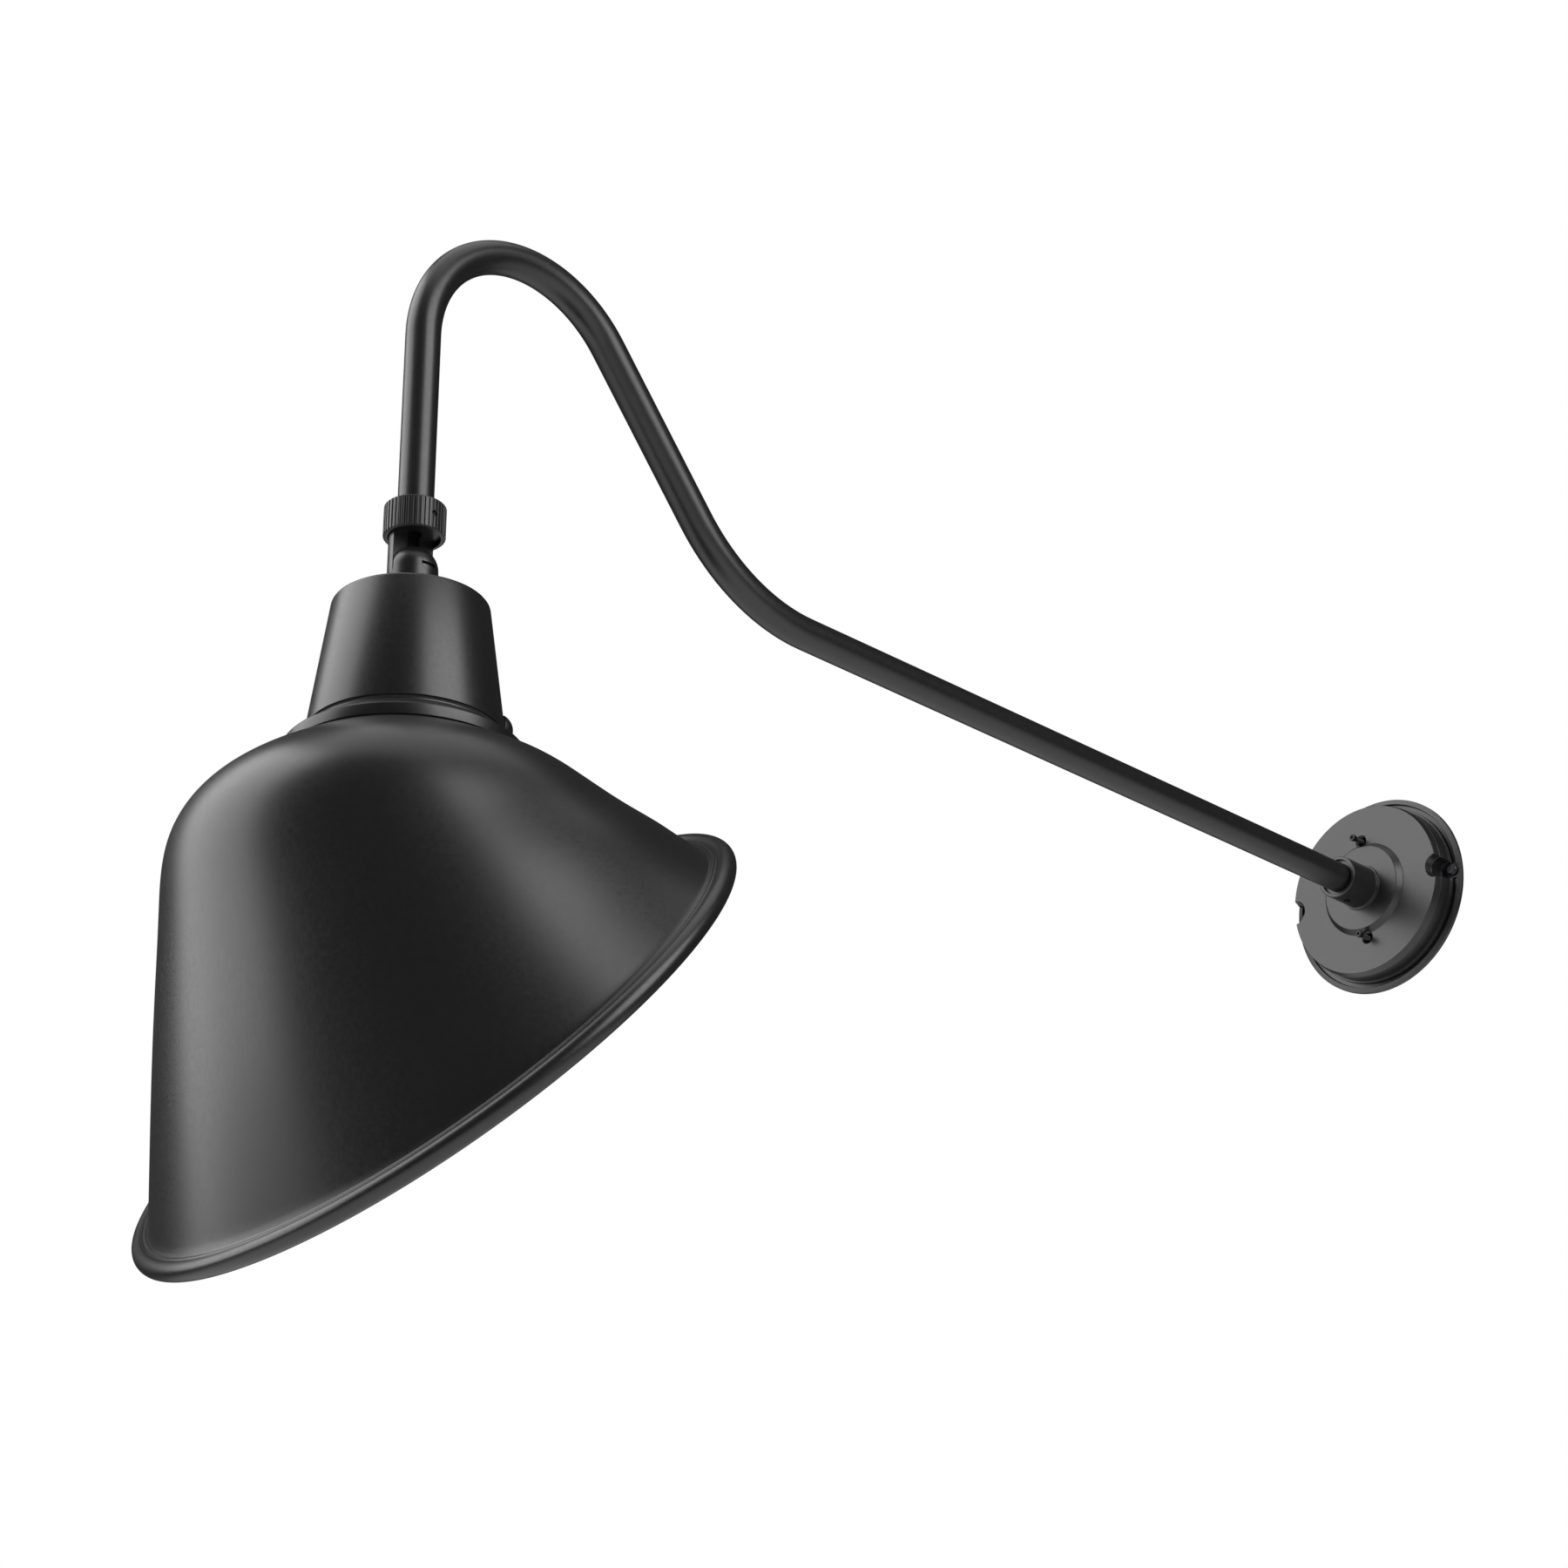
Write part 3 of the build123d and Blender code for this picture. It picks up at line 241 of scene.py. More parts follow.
# Natural nylon washer: waxy and warm white.
NYLON = finish("natural_nylon", "C9C2AE", "D5CFBD", (0.42, 0.52), 1.5, 0.006, Subsurface_Weight=0.1)
# Off-white ABS driver case, moulded with a spark texture.
MOULDED_ABS = finish("off_white_moulded_abs", "BDBCB6", "C7C6C1", (0.48, 0.60), 1.1, 0.02)
# Die-cast aluminium, bead-blasted: grey metal with a sandy grain.
CAST_ALUMINIUM = finish("die_cast_aluminium", "9A9C9F", "ADAFB1", (0.42, 0.58), 0.9, 0.02, Metallic=1.0)
# White solder mask over a metal-core circuit board: smooth and slightly glossy.
SOLDER_MASK = finish("white_solder_mask", "DADAD6", "E4E4E1", (0.25, 0.33), 1.4, 0.004)
# Silicone with phosphor over each light chip: amber and smooth.
PHOSPHOR = finish("phosphor_silicone", "C9A23A", "D9B74F", (0.30, 0.40), 0.9, 0.01)
# Opal polycarbonate diffuser: milky, with light scattered under a smooth skin.
OPAL_PC = finish("opal_polycarbonate", "E6E5E1", "EFEEEB", (0.22, 0.28), 2.0, 0.003,
                 Subsurface_Weight=0.4, IOR=1.585)

LOOKS = {
    "black_coat": POWDER_COAT, "white_coat": REFLECTOR_ENAMEL, "screw_black": BLACK_OXIDE,
    "gasket_foam": FOAM_RUBBER, "screw_steel": ZINC_PLATE, "screw_brass": TURNED_BRASS,
    "washer_fibre": NYLON, "driver_case": MOULDED_ABS, "sink_alu": CAST_ALUMINIUM,
    "board_white": SOLDER_MASK, "chip_yellow": PHOSPHOR, "lens_opal": OPAL_PC,
}


# Shaping tools

ARC_STEPS = 4
WELD = 2e-6
SLIVER = 1e-6


def as_object(name, mesh, materials, sharp=28.0):
    """An object in the scene with smooth shading between its sharp edges."""
    for material in materials:
        mesh.materials.append(material)
    mesh.validate()
    mesh.shade_smooth()
    mesh.set_sharp_from_angle(angle=radians(sharp))
    return shown(bpy.data.objects.new(name, mesh))


def stands_for(obj, *nodes):
    """The piece rides with its CAD nodes' body and shows in their place."""
    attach(obj, BODY_OF[nodes[0]])
    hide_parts(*nodes)
    return obj


def mesh_of(bm, name):
    """Plain mesh from a bmesh, which is used up."""
    mesh = bpy.data.meshes.new(name)
    bm.to_mesh(mesh)
    bm.free()
    return mesh


def face_outwards(mesh):
    """Turns every face of a plain mesh outwards."""
    bm = bmesh.new()
    bm.from_mesh(mesh)
    bmesh.ops.recalc_face_normals(bm, faces=bm.faces)
    bm.to_mesh(mesh)
    bm.free()


def welded(mesh, shortest):
    """Bmesh of a mesh with doubled points joined and edges under a length, in metres, dissolved."""
    bm = bmesh.new()
    bm.from_mesh(mesh)
    bmesh.ops.remove_doubles(bm, verts=bm.verts, dist=WELD)
    bmesh.ops.dissolve_degenerate(bm, edges=bm.edges, dist=shortest)
    return bm


def rounded(profile):
    """Profile points (r, h) or (r, h, fillet) of a closed outline, with each fillet drawn as an arc."""
    out = []
    count = len(profile)
    for i, point in enumerate(profile):
        here = Vector(point[:2])
        if len(point) == 2:
            out.append(here)
            continue
        before = (Vector(profile[i - 1][:2]) - here).normalized()
        after = (Vector(profile[(i + 1) % count][:2]) - here).normalized()
        half = before.angle(after) / 2
        centre = here + (before + after).normalized() * (point[2] / sin(half))
        start = here + before * (point[2] / tan(half)) - centre
        end = here + after * (point[2] / tan(half)) - centre
        turn = atan2(start.x * end.y - start.y * end.x, start.dot(end))
        for k in range(ARC_STEPS + 1):
            a = turn * k / ARC_STEPS
            out.append(centre + Vector((start.x * cos(a) - start.y * sin(a),
                                        start.x * sin(a) + start.y * cos(a))))
    return out


def lathe(name, profile, place, materials, steps=128):
    """Turns a closed outline of (radius, height) about the Z axis of a place."""
    bm = bmesh.new()
    rings = []
    for radius, height in rounded(profile):
        if radius < 1e-6:
            rings.append([bm.verts.new(place @ Vector((0, 0, height * MM)))] * steps)
            continue
        turns = [2 * pi * k / steps for k in range(steps)]
        rings.append([bm.verts.new(place @ (Vector((radius * cos(a), radius * sin(a), height)) * MM))
                      for a in turns])
    for ring, other in zip(rings, rings[1:] + rings[:1]):
        for k in range(steps):
            n = (k + 1) % steps
            corners = list(dict.fromkeys((ring[k], ring[n], other[n], other[k])))
            if len(corners) > 2:
                bm.faces.new(corners)
    bmesh.ops.recalc_face_normals(bm, faces=bm.faces)
    return as_object(name, mesh_of(bm, name), materials)


def rod(radius, low, high, place, steps=64):
    """Plain cylinder, used to cut other pieces."""
    return lathe("rod", [(0, low), (radius, low), (radius, high), (0, high)], place, [], steps)


def slab(low, high):
    """Box between two corners, used to cut other pieces."""
    bm = bmesh.new()
    size = Vector(high) - Vector(low)
    middle = (Vector(high) + Vector(low)) / 2
    place = Matrix.Translation(middle * MM) @ Matrix.Diagonal((*(size * MM), 1))
    bmesh.ops.create_cube(bm, size=1.0, matrix=place)
    return as_object("slab", mesh_of(bm, "slab"), [])


def evaluated(name, obj):
    """Plain mesh object from what an object's modifiers make. The object is used up."""
    graph = bpy.context.evaluated_depsgraph_get()
    mesh = bpy.data.meshes.new_from_object(obj.evaluated_get(graph))
    bpy.data.objects.remove(obj)
    return shown(bpy.data.objects.new(name, mesh))


def carve(obj, tool, operation="DIFFERENCE"):
    """Cuts a tool from a piece, or keeps what they share, or joins them. The tool is used up."""
    step = obj.modifiers.new("carve", "BOOLEAN")
    step.operation = operation
    step.solver = "EXACT"
    step.object = tool
    result = evaluated(obj.name, obj)
    bpy.data.objects.remove(tool)
    return result


def soften_edges(obj, width_mm, angle, harden=False):
    """Small bevel on every edge that turns by more than an angle in degrees."""
    easing = obj.modifiers.new("eased_edges", "BEVEL")
    easing.width = width_mm * MM
    easing.segments = 2
    easing.limit_method = "ANGLE"
    easing.angle_limit = radians(angle)
    easing.use_clamp_overlap = True
    easing.harden_normals = harden


def eased(obj, width_mm, sharp=30.0):
    """Smooth shading between sharp edges, edges eased by a small bevel, flat faces kept flat."""
    bm = welded(obj.data, WELD)
    bm.to_mesh(obj.data)
    bm.free()
    obj.data.shade_smooth()
    obj.data.set_sharp_from_angle(angle=radians(sharp))
    if width_mm:
        soften_edges(obj, width_mm, sharp)
    weights = obj.modifiers.new("flat_faces", "WEIGHTED_NORMAL")
    weights.keep_sharp = True
    return obj


def clean_copy(node, name, material, bevel_mm=0.0):
    """A CAD node's mesh with its triangles joined up, shaded smooth and its edges eased."""
    bm = welded(NODES[node].data, SLIVER)
    bmesh.ops.dissolve_limit(bm, angle_limit=radians(0.6), verts=bm.verts, edges=bm.edges)
    obj = as_object(name, mesh_of(bm, name), [material])
    if bevel_mm:
        soften_edges(obj, bevel_mm, 40, harden=True)
    return stands_for(obj, node)


def join_into(target, *others):
    """One mesh from several plain mesh objects."""
    bm = bmesh.new()
    bm.from_mesh(target.data)
    for other in others:
        bm.from_mesh(other.data)
        bpy.data.objects.remove(other)
    bm.to_mesh(target.data)
    bm.free()
    return target


# Camera, floor and light

CAMERA_HEADING = radians(45.0)
CAMERA_PITCH = radians(24.79)
CAMERA_LENS_MM = 90.04
CAMERA_SPOT = (1.572, -2.197, -1.1385)
LIT_SPOT = Vector((0.0, -0.6, -0.15))
FLOOR_LEVEL = -1.7
FLOOR_HALF = 6.0


def place_camera():
    """The photograph's view: from below and to the right of the lamp, a long lens."""
    forward = Vector((-sin(CAMERA_HEADING) * cos(CAMERA_PITCH), cos(CAMERA_HEADING) * cos(CAMERA_PITCH),
                      sin(CAMERA_PITCH)))
    right = Vector((cos(CAMERA_HEADING), sin(CAMERA_HEADING), 0))
    up = right.cross(forward)
    data = bpy.data.cameras.new("photo_view")
    data.sensor_width = 36.0
    data.lens = CAMERA_LENS_MM
    data.clip_end = 50.0
    camera = shown(bpy.data.objects.new("photo_view", data))
    turn = Matrix((right, up, -forward)).transposed()
    camera.matrix_world = Matrix.Translation(CAMERA_SPOT) @ turn.to_4x4()
    bpy.context.scene.camera = camera


def softbox(name, heading, rise, distance, size, brightness):
    """Rectangular studio light, placed by its heading from the lamp's front and its rise, in degrees."""
    flat = distance * cos(radians(rise))
    height = distance * sin(radians(rise))
    spot = LIT_SPOT + Vector((flat * sin(radians(heading)), -flat * cos(radians(heading)), height))
    data = bpy.data.lights.new(name, "AREA")
    data.shape = "RECTANGLE"
    data.size, data.size_y = size
    data.energy = brightness * pi * size[0] * size[1]
    lamp = shown(bpy.data.objects.new(name, data))
    turn = (LIT_SPOT - spot).to_track_quat("-Z", "Y").to_matrix()
    lamp.matrix_world = Matrix.Translation(spot) @ turn.to_4x4()


def light_studio():
    """White surroundings to the eye, a dark room in the reflections, and three soft boxes."""
    world = bpy.data.worlds.new("studio")
    bpy.context.scene.world = world
    world.use_nodes = True
    tree = world.node_tree
    tree.nodes.clear()
    seen = add(tree, "ShaderNodeLightPath").outputs["Is Camera Ray"]
    room = add(tree, "ShaderNodeBackground", {"Color": WHITE, "Strength": 0.03})
    backdrop = add(tree, "ShaderNodeBackground", {"Color": WHITE, "Strength": 1.0})
    both = add(tree, "ShaderNodeMixShader", {0: seen, 1: room.outputs[0], 2: backdrop.outputs[0]})
    tree.links.new(both.outputs[0], add(tree, "ShaderNodeOutputWorld").inputs["Surface"])
    softbox("box_left", -43.0, 30.0, 3.0, (2.8, 3.6), 3.7)
    softbox("box_right", 90.0, 26.0, 3.0, (2.4, 2.4), 4.8)
    softbox("box_top", 20.0, 84.0, 3.0, (2.8, 2.8), 1.1)
    bpy.context.scene.view_settings.view_transform = "Standard"


def lay_floor():
    """Pale floor below the camera, with a faint glow that stands for the light of a white studio."""
    sides = ((-1, -1), (1, -1), (1, 1), (-1, 1))
    corners = [(x * FLOOR_HALF, y * FLOOR_HALF, FLOOR_LEVEL) for x, y in sides]
    mesh = bpy.data.meshes.new("floor")
    mesh.from_pydata(corners, [], [(0, 1, 2, 3)])
    mesh.materials.append(finish("pale_studio_floor", "E6E6E4", "EDEDEB", (0.7, 0.8), 6.0, 0.0,
                                 Emission_Color=WHITE, Emission_Strength=0.5))
    floor = shown(bpy.data.objects.new("floor", mesh))


# Shade

def natural_spline(values, count):
    """Cubic spline with free ends through evenly spaced rows, sampled evenly."""
    rows = np.array(values, dtype=float)
    n = len(rows)
    system = np.diag([4.0] * n) + np.diag([1.0] * (n - 1), 1) + np.diag([1.0] * (n - 1), -1)
    system[0, :2] = (1, 0)
    system[-1, -2:] = (0, 1)
    curve = np.zeros_like(rows)
    curve[1:-1] = 6 * (rows[2:] - 2 * rows[1:-1] + rows[:-2])
    curve = np.linalg.solve(system, curve)
    t = np.linspace(0, n - 1, count)
    i = np.minimum(t.astype(int), n - 2)
    b = (t - i)[:, None]
    a = 1 - b
    return a * rows[i] + b * rows[i + 1] + ((a ** 3 - a) * curve[i] + (b ** 3 - b) * curve[i + 1]) / 6


def rim_point(up):
    """Middle of the rim at a height along its own axis, as lean from the head's axis and Z."""
    return RIM_LEAN + up * sin(RIM_TILT), TUBE_END - RIM_DROP + up * cos(RIM_TILT)


def shade_rings(stations, around):
    """Rings of points round the shade's outer wall, from the neck to the end of the wall."""
    rim = np.array(rim_point(RIM_FLANGE_UP))
    across = np.array([cos(RIM_TILT), -sin(RIM_TILT)]) * RIM_FLANGE_R
    rows = [(NECK_R, SHADE_TOP, -NECK_R, SHADE_TOP, NECK_R)]
    # Each section's lean and drop at its far point, the same at its near point, and its half width.
    for far_lean, far_drop, near_lean, near_drop, width in (
            (110.8, 27.9, -87.8, 7.4, 100.3), (130.4, 63.6, -103.4, 12.5, 120.1),
            (128.0, 106.8, -121.0, 15.3, 134.4), (120.3, 157.8, -134.0, 16.2, 150.0),
            (109.8, 222.2, -141.0, 16.5, 166.0)):
        rows.append((far_lean, SHADE_TOP - far_drop, near_lean, SHADE_TOP - near_drop, width))
    rows.append((*(rim + across), *(rim - across), RIM_FLANGE_R))
    angle = np.linspace(0, 2 * pi, around, endpoint=False)
    rings = []
    for far_lean, far_z, near_lean, near_z, width in natural_spline(rows, stations):
        middle = ((far_lean + near_lean) / 2, (far_z + near_z) / 2)
        half = ((far_lean - near_lean) / 2, (far_z - near_z) / 2)
        wide = max(width, sqrt(half[0] ** 2 + half[1] ** 2))
        rings.append(np.stack([wide * np.cos(angle), -REACH - middle[0] - half[0] * np.sin(angle),
                               middle[1] + half[1] * np.sin(angle)], axis=1))
    return np.array(rings)


def rim_ring(radius, up, around):
    """Ring of points about the rim's axis."""
    lean, z = rim_point(up)
    angle = np.linspace(0, 2 * pi, around, endpoint=False)
    return np.stack([radius * np.cos(angle), -REACH - lean - radius * cos(RIM_TILT) * np.sin(angle),
                     z - radius * sin(RIM_TILT) * np.sin(angle)], axis=1)


def level_ring(radius, z, around):
    """Ring of points about the head's axis."""
    angle = np.linspace(0, 2 * pi, around, endpoint=False)
    return np.stack([radius * np.cos(angle), -REACH - radius * np.sin(angle), np.full(around, z)], axis=1)


def rim_outline():
    """The rim's section as (radius, height), its outer side first, and where the inner side starts."""
    ridge = 0.4
    first = RIM_FLANGE_R + 1.35
    second = RIM_FLANGE_R + 4.0
    lifts = [(RIM_FLANGE_R + 0.4, 0.1), (first - 0.55, 0.02), (first - 0.35, 0.25), (first, ridge),
             (first + 0.35, 0.25), (first + 0.6, 0.02), (second - 0.6, 0.02), (second - 0.35, 0.25),
             (second, ridge), (second + 0.3, 0.3)]
    outline = [(r, RIM_FLANGE_UP + lift) for r, lift in lifts]
    for radius, turns in ((RIM_BEAD_R, range(118, -189, -9)), (RIM_BEAD_R - SHADE_T, range(-188, 100, 18))):
        outline += [(RIM_R + radius * cos(radians(a)), radius * sin(radians(a))) for a in turns]
    under = RIM_FLANGE_UP - SHADE_T
    inner_start = len(outline)
    outline += [(RIM_R - 2.2, under), (RIM_FLANGE_R + 0.2, under), (RIM_FLANGE_R - 1.2, under + 0.4)]
    return outline, inner_start


def inner_wall(outer):
    """Rings one wall thickness inside the outer rings."""
    down = np.gradient(outer, axis=0)
    side = np.roll(outer, -1, axis=1) - np.roll(outer, 1, axis=1)
    out = np.cross(side, down)
    out /= np.linalg.norm(out, axis=2, keepdims=True)
    centre = outer.mean(axis=1, keepdims=True)
    if ((outer - centre) * out).sum() < 0:
        out = -out
    return outer - out * SHADE_T


def make_shade():
    """Spun steel shade: flat crown, skewed bowl, flange with two ridges and a rolled bead."""
    around = 256
    outer = shade_rings(110, around)
    inner = inner_wall(outer)
    under = SHADE_TOP - SHADE_T
    rings = [level_ring(NECK_HOLE_R, under, around), level_ring(NECK_HOLE_R, SHADE_TOP, around),
             level_ring(NECK_R - 0.6, SHADE_TOP, around)]
    rings += list(outer[1:-1])
    rings += [rim_ring(RIM_FLANGE_R - 0.15, RIM_FLANGE_UP + 0.5, around)]
    outline, inner_start = rim_outline()
    first_white = len(rings) + inner_start
    rings += [rim_ring(r, up, around) for r, up in outline]
    rings += list(inner[-2:1:-1])
    rings += [level_ring(NECK_R - 1.3, under, around)]
    count = len(rings)
    faces = []
    for i in range(count):
        j = (i + 1) % count
        for k in range(around):
            n = (k + 1) % around
            faces.append((i * around + k, i * around + n, j * around + n, j * around + k))
    mesh = bpy.data.meshes.new("shade_skin")
    mesh.from_pydata((np.concatenate(rings) * MM).tolist(), [], faces)
    face_outwards(mesh)
    whites = [int(i >= first_white) for i in range(count) for _ in range(around)]
    mesh.polygons.foreach_set("material_index", whites)
    shade = as_object("shade_skin", mesh, [POWDER_COAT, REFLECTOR_ENAMEL], 40)
    return stands_for(shade, "shade", "shade_rim")


# Arm

def arm_route():
    """Points along the arm's centreline, close together in the bends."""
    points = [(TUBE_START, 0.0), (ARM_LEVEL, 0.0)]
    x, z, heading = ARM_LEVEL, 0.0, 0.0
    for radius, turn, run in ((BEND_1_R, ARM_RISE_ANGLE, ARM_RISE),
                              (BEND_2_R, -(pi / 2 + ARM_RISE_ANGLE), ARM_DROP)):
        side = 1 if turn > 0 else -1
        centre = (x - side * radius * sin(heading), z + side * radius * cos(heading))
        steps = int(abs(turn) / radians(2.5))
        for k in range(1, steps + 1):
            a = heading + turn * k / steps
            points.append((centre[0] + side * radius * sin(a), centre[1] - side * radius * cos(a)))
        heading += turn
        x, z = points[-1]
        x, z = x + run * cos(heading), z + run * sin(heading)
        points.append((x, z))
    return [Vector((0, -u, z)) * MM for u, z in points]


def pipe_tree():
    """Node tree that sweeps a round section along its curve."""
    tree = bpy.data.node_groups.new("pipe_along_route", "GeometryNodeTree")
    tree.interface.new_socket("Geometry", in_out="INPUT", socket_type="NodeSocketGeometry")
    for name, kind, value in (("Radius", "NodeSocketFloat", TUBE_R * MM), ("Sides", "NodeSocketInt", 64)):
        socket = tree.interface.new_socket(name, in_out="INPUT", socket_type=kind)
        socket.default_value = value
    tree.interface.new_socket("Geometry", in_out="OUTPUT", socket_type="NodeSocketGeometry")
    given = add(tree, "NodeGroupInput")
    section = add(tree, "GeometryNodeCurvePrimitiveCircle",
                  {"Resolution": given.outputs["Sides"], "Radius": given.outputs["Radius"]})
    pipe = add(tree, "GeometryNodeCurveToMesh", {"Curve": given.outputs["Geometry"],
                                                 "Profile Curve": section.outputs["Curve"]})
    real = add(tree, "GeometryNodeRealizeInstances", {"Geometry": pipe.outputs["Mesh"]})
    coat = add(tree, "GeometryNodeSetMaterial", {"Geometry": real.outputs["Geometry"],
                                                 "Material": POWDER_COAT})
    tree.links.new(coat.outputs["Geometry"], add(tree, "NodeGroupOutput").inputs["Geometry"])
    return tree


def make_arm():
    """Steel pipe: a round section swept along the route, then given its wall."""
    data = bpy.data.curves.new("arm_route", "CURVE")
    data.dimensions = "3D"
    route = arm_route()
    line = data.splines.new("POLY")
    line.points.add(len(route) - 1)
    for spot, point in zip(route, line.points):
        point.co = (*spot, 1.0)
    carrier = shown(bpy.data.objects.new("arm_route", data))
    carrier.modifiers.new("pipe", "NODES").node_group = pipe_tree()
    skin = evaluated("arm_skin", carrier)
    face_outwards(skin.data)
    wall = skin.modifiers.new("wall", "SOLIDIFY")
    wall.thickness = TUBE_WALL * MM
    wall.offset = -1.0
    pipe = evaluated("arm_pipe", skin)
    pipe.data.shade_smooth()
    pipe.data.set_sharp_from_angle(angle=radians(40))
    return stands_for(pipe, "arm_tube")


# Collar

def ring_tree(name):
    """Node tree that repeats its piece round a vertical axis."""
    tree = bpy.data.node_groups.new(name, "GeometryNodeTree")
    for label, kind in (("Geometry", "NodeSocketGeometry"), ("Count", "NodeSocketInt"),
                        ("Start", "NodeSocketFloat"), ("Axis", "NodeSocketVector"),
                        ("Coat", "NodeSocketMaterial")):
        tree.interface.new_socket(label, in_out="INPUT", socket_type=kind)
    tree.interface.new_socket("Geometry", in_out="OUTPUT", socket_type="NodeSocketGeometry")
    given = add(tree, "NodeGroupInput")
    spots = add(tree, "GeometryNodePoints",
                {"Count": given.outputs["Count"], "Position": given.outputs["Axis"]})
    step = add(tree, "ShaderNodeMath", {0: 2 * pi, 1: given.outputs["Count"]}, operation="DIVIDE")
    index = add(tree, "GeometryNodeInputIndex")
    turn = add(tree, "ShaderNodeMath", {0: index.outputs[0], 1: step.outputs[0], 2: given.outputs["Start"]},
               operation="MULTIPLY_ADD")
    spin = add(tree, "ShaderNodeCombineXYZ", {"Z": turn.outputs[0]})
    copies = add(tree, "GeometryNodeInstanceOnPoints", {
        "Points": spots.outputs[0], "Instance": given.outputs["Geometry"], "Rotation": spin.outputs[0]})
    real = add(tree, "GeometryNodeRealizeInstances", {"Geometry": copies.outputs[0]})
    coat = add(tree, "GeometryNodeSetMaterial",
               {"Geometry": real.outputs[0], "Material": given.outputs["Coat"]})
    tree.links.new(coat.outputs[0], add(tree, "NodeGroupOutput").inputs[0])
    return tree


def repeated(name, piece, count, start, axis, material):
    """Copies of a piece round an axis, as one plain mesh."""
    tree = ring_tree("round_repeat")
    modifier = piece.modifiers.new("repeat", "NODES")
    modifier.node_group = tree
    values = {"Count": count, "Start": start, "Axis": axis, "Coat": material}
    for item in tree.interface.items_tree:
        if item.item_type == "SOCKET" and item.in_out == "INPUT" and item.name in values:
            modifier[item.identifier] = values[item.name]
    return evaluated(name, piece)


def knurl_rib(bottom, root):
    """One straight rib of the knurl, with its ends bevelled and its foot sunk into the sleeve."""
    half = 2 * pi * COLLAR_R / KNURL_COUNT * RIB_SHARE
    section = [(root - 0.5, -half - 0.25), (root, -half - 0.2), (COLLAR_R - 0.2, -half + 0.05),
               (COLLAR_R, -half + 0.3), (COLLAR_R, half - 0.3), (COLLAR_R - 0.2, half - 0.05),
               (root, half + 0.2), (root - 0.5, half + 0.25)]
    levels = [(bottom + 0.25, KNURL_DEPTH), (bottom + 0.9, 0.0), (COLLAR_TOP - 0.9, 0.0),
              (COLLAR_TOP - 0.25, KNURL_DEPTH)]
    bm = bmesh.new()
    rows = []
    for z, back in levels:
        rows.append([bm.verts.new(Vector((min(r, COLLAR_R - back), y, z)) * MM) for r, y in section])
    for low, high in zip(rows, rows[1:]):
        for k in range(len(section)):
            n = (k + 1) % len(section)
            bm.faces.new((low[k], low[n], high[n], high[k]))
    bm.faces.new(rows[0])
    bm.faces.new(rows[-1])
    bmesh.ops.recalc_face_normals(bm, faces=bm.faces)
    return as_object("collar_rib", mesh_of(bm, "collar_rib"), [POWDER_COAT], 50)


def make_collar():
    """Knurled collar: a turned sleeve with straight ribs set round it and a set screw's hole."""
    bottom = COLLAR_TOP - COLLAR_H
    root = COLLAR_R - KNURL_DEPTH
    pipe_gap = TUBE_R + 0.3
    bar_gap = SWIVEL_R + 0.5
    flange_gap = SWIVEL_FLANGE_R + 0.3
    lip_top = TUBE_END - 4.3
    roof = COLLAR_TOP - 4.0
    sleeve = lathe("collar_sleeve", [
        (root - 0.6, COLLAR_TOP), (root, COLLAR_TOP - 0.6), (root, bottom + 0.6), (root - 0.6, bottom),
        (bar_gap, bottom, 0.3), (bar_gap, lip_top, 0.3), (flange_gap, lip_top), (flange_gap, roof),
        (pipe_gap, roof), (pipe_gap, COLLAR_TOP, 0.4)], HEAD, [POWDER_COAT])
    ribs = repeated("collar_ribs", knurl_rib(bottom, root), KNURL_COUNT, 0.0, HEAD_SPOT, POWDER_COAT)
    hole = along_x(COLLAR_SCREW_Z)
    sleeve = carve(sleeve, rod(COLLAR_SCREW_R, 8.0, 25.0, hole, 32))
    ribs = carve(ribs, rod(COLLAR_SCREW_R, 8.0, 25.0, hole, 32))
    return stands_for(join_into(eased(sleeve, 0), ribs), "knurled_collar")


# Swivel

def along_x(z):
    """Place on the head's axis, at a height, whose own Z runs along X."""
    return HEAD @ Matrix.Translation(Vector((0, 0, z)) * MM) @ Matrix.Rotation(radians(90), 4, "Y")


def ball_end(side):
    """Profile of a round bar's half-ball end about the pivot, above it (1) or below it (-1)."""
    turns = [radians(a) for a in range(0, 91, 6)]
    return [(SWIVEL_R * cos(a), PIVOT_Z + side * SWIVEL_R * sin(a)) for a in turns]


def make_upper_ear():
    """Upper half of the swivel: spigot, flange and an ear on the -X side."""
    top = TUBE_END - 0.3
    flange = top - SWIVEL_FLANGE_H
    bar = [(SWIVEL_BORE_R, PIVOT_Z - 14.0), *reversed(ball_end(-1)[:-3]), (SWIVEL_R, flange - 0.05),
           (SWIVEL_FLANGE_R, flange, 0.3), (SWIVEL_FLANGE_R, top, 0.4), (SPIGOT_R, top, 0.2),
           (SPIGOT_R, top + SPIGOT_H, 0.4), (SWIVEL_BORE_R, top + SPIGOT_H)]
    ear = lathe("swivel_ear", bar, HEAD, [POWDER_COAT], 96)
    ear = carve(ear, slab((-LAP, -REACH - BEYOND, PIVOT_Z - BEYOND),
                          (BEYOND, -REACH + BEYOND, flange - 0.02)))
    ear = carve(ear, rod(PIVOT_R + 0.1, PIVOT_TIP - 0.2, 5.0, along_x(PIVOT_Z), 48))
    stands_for(eased(ear, 0.35), "swivel_upper")


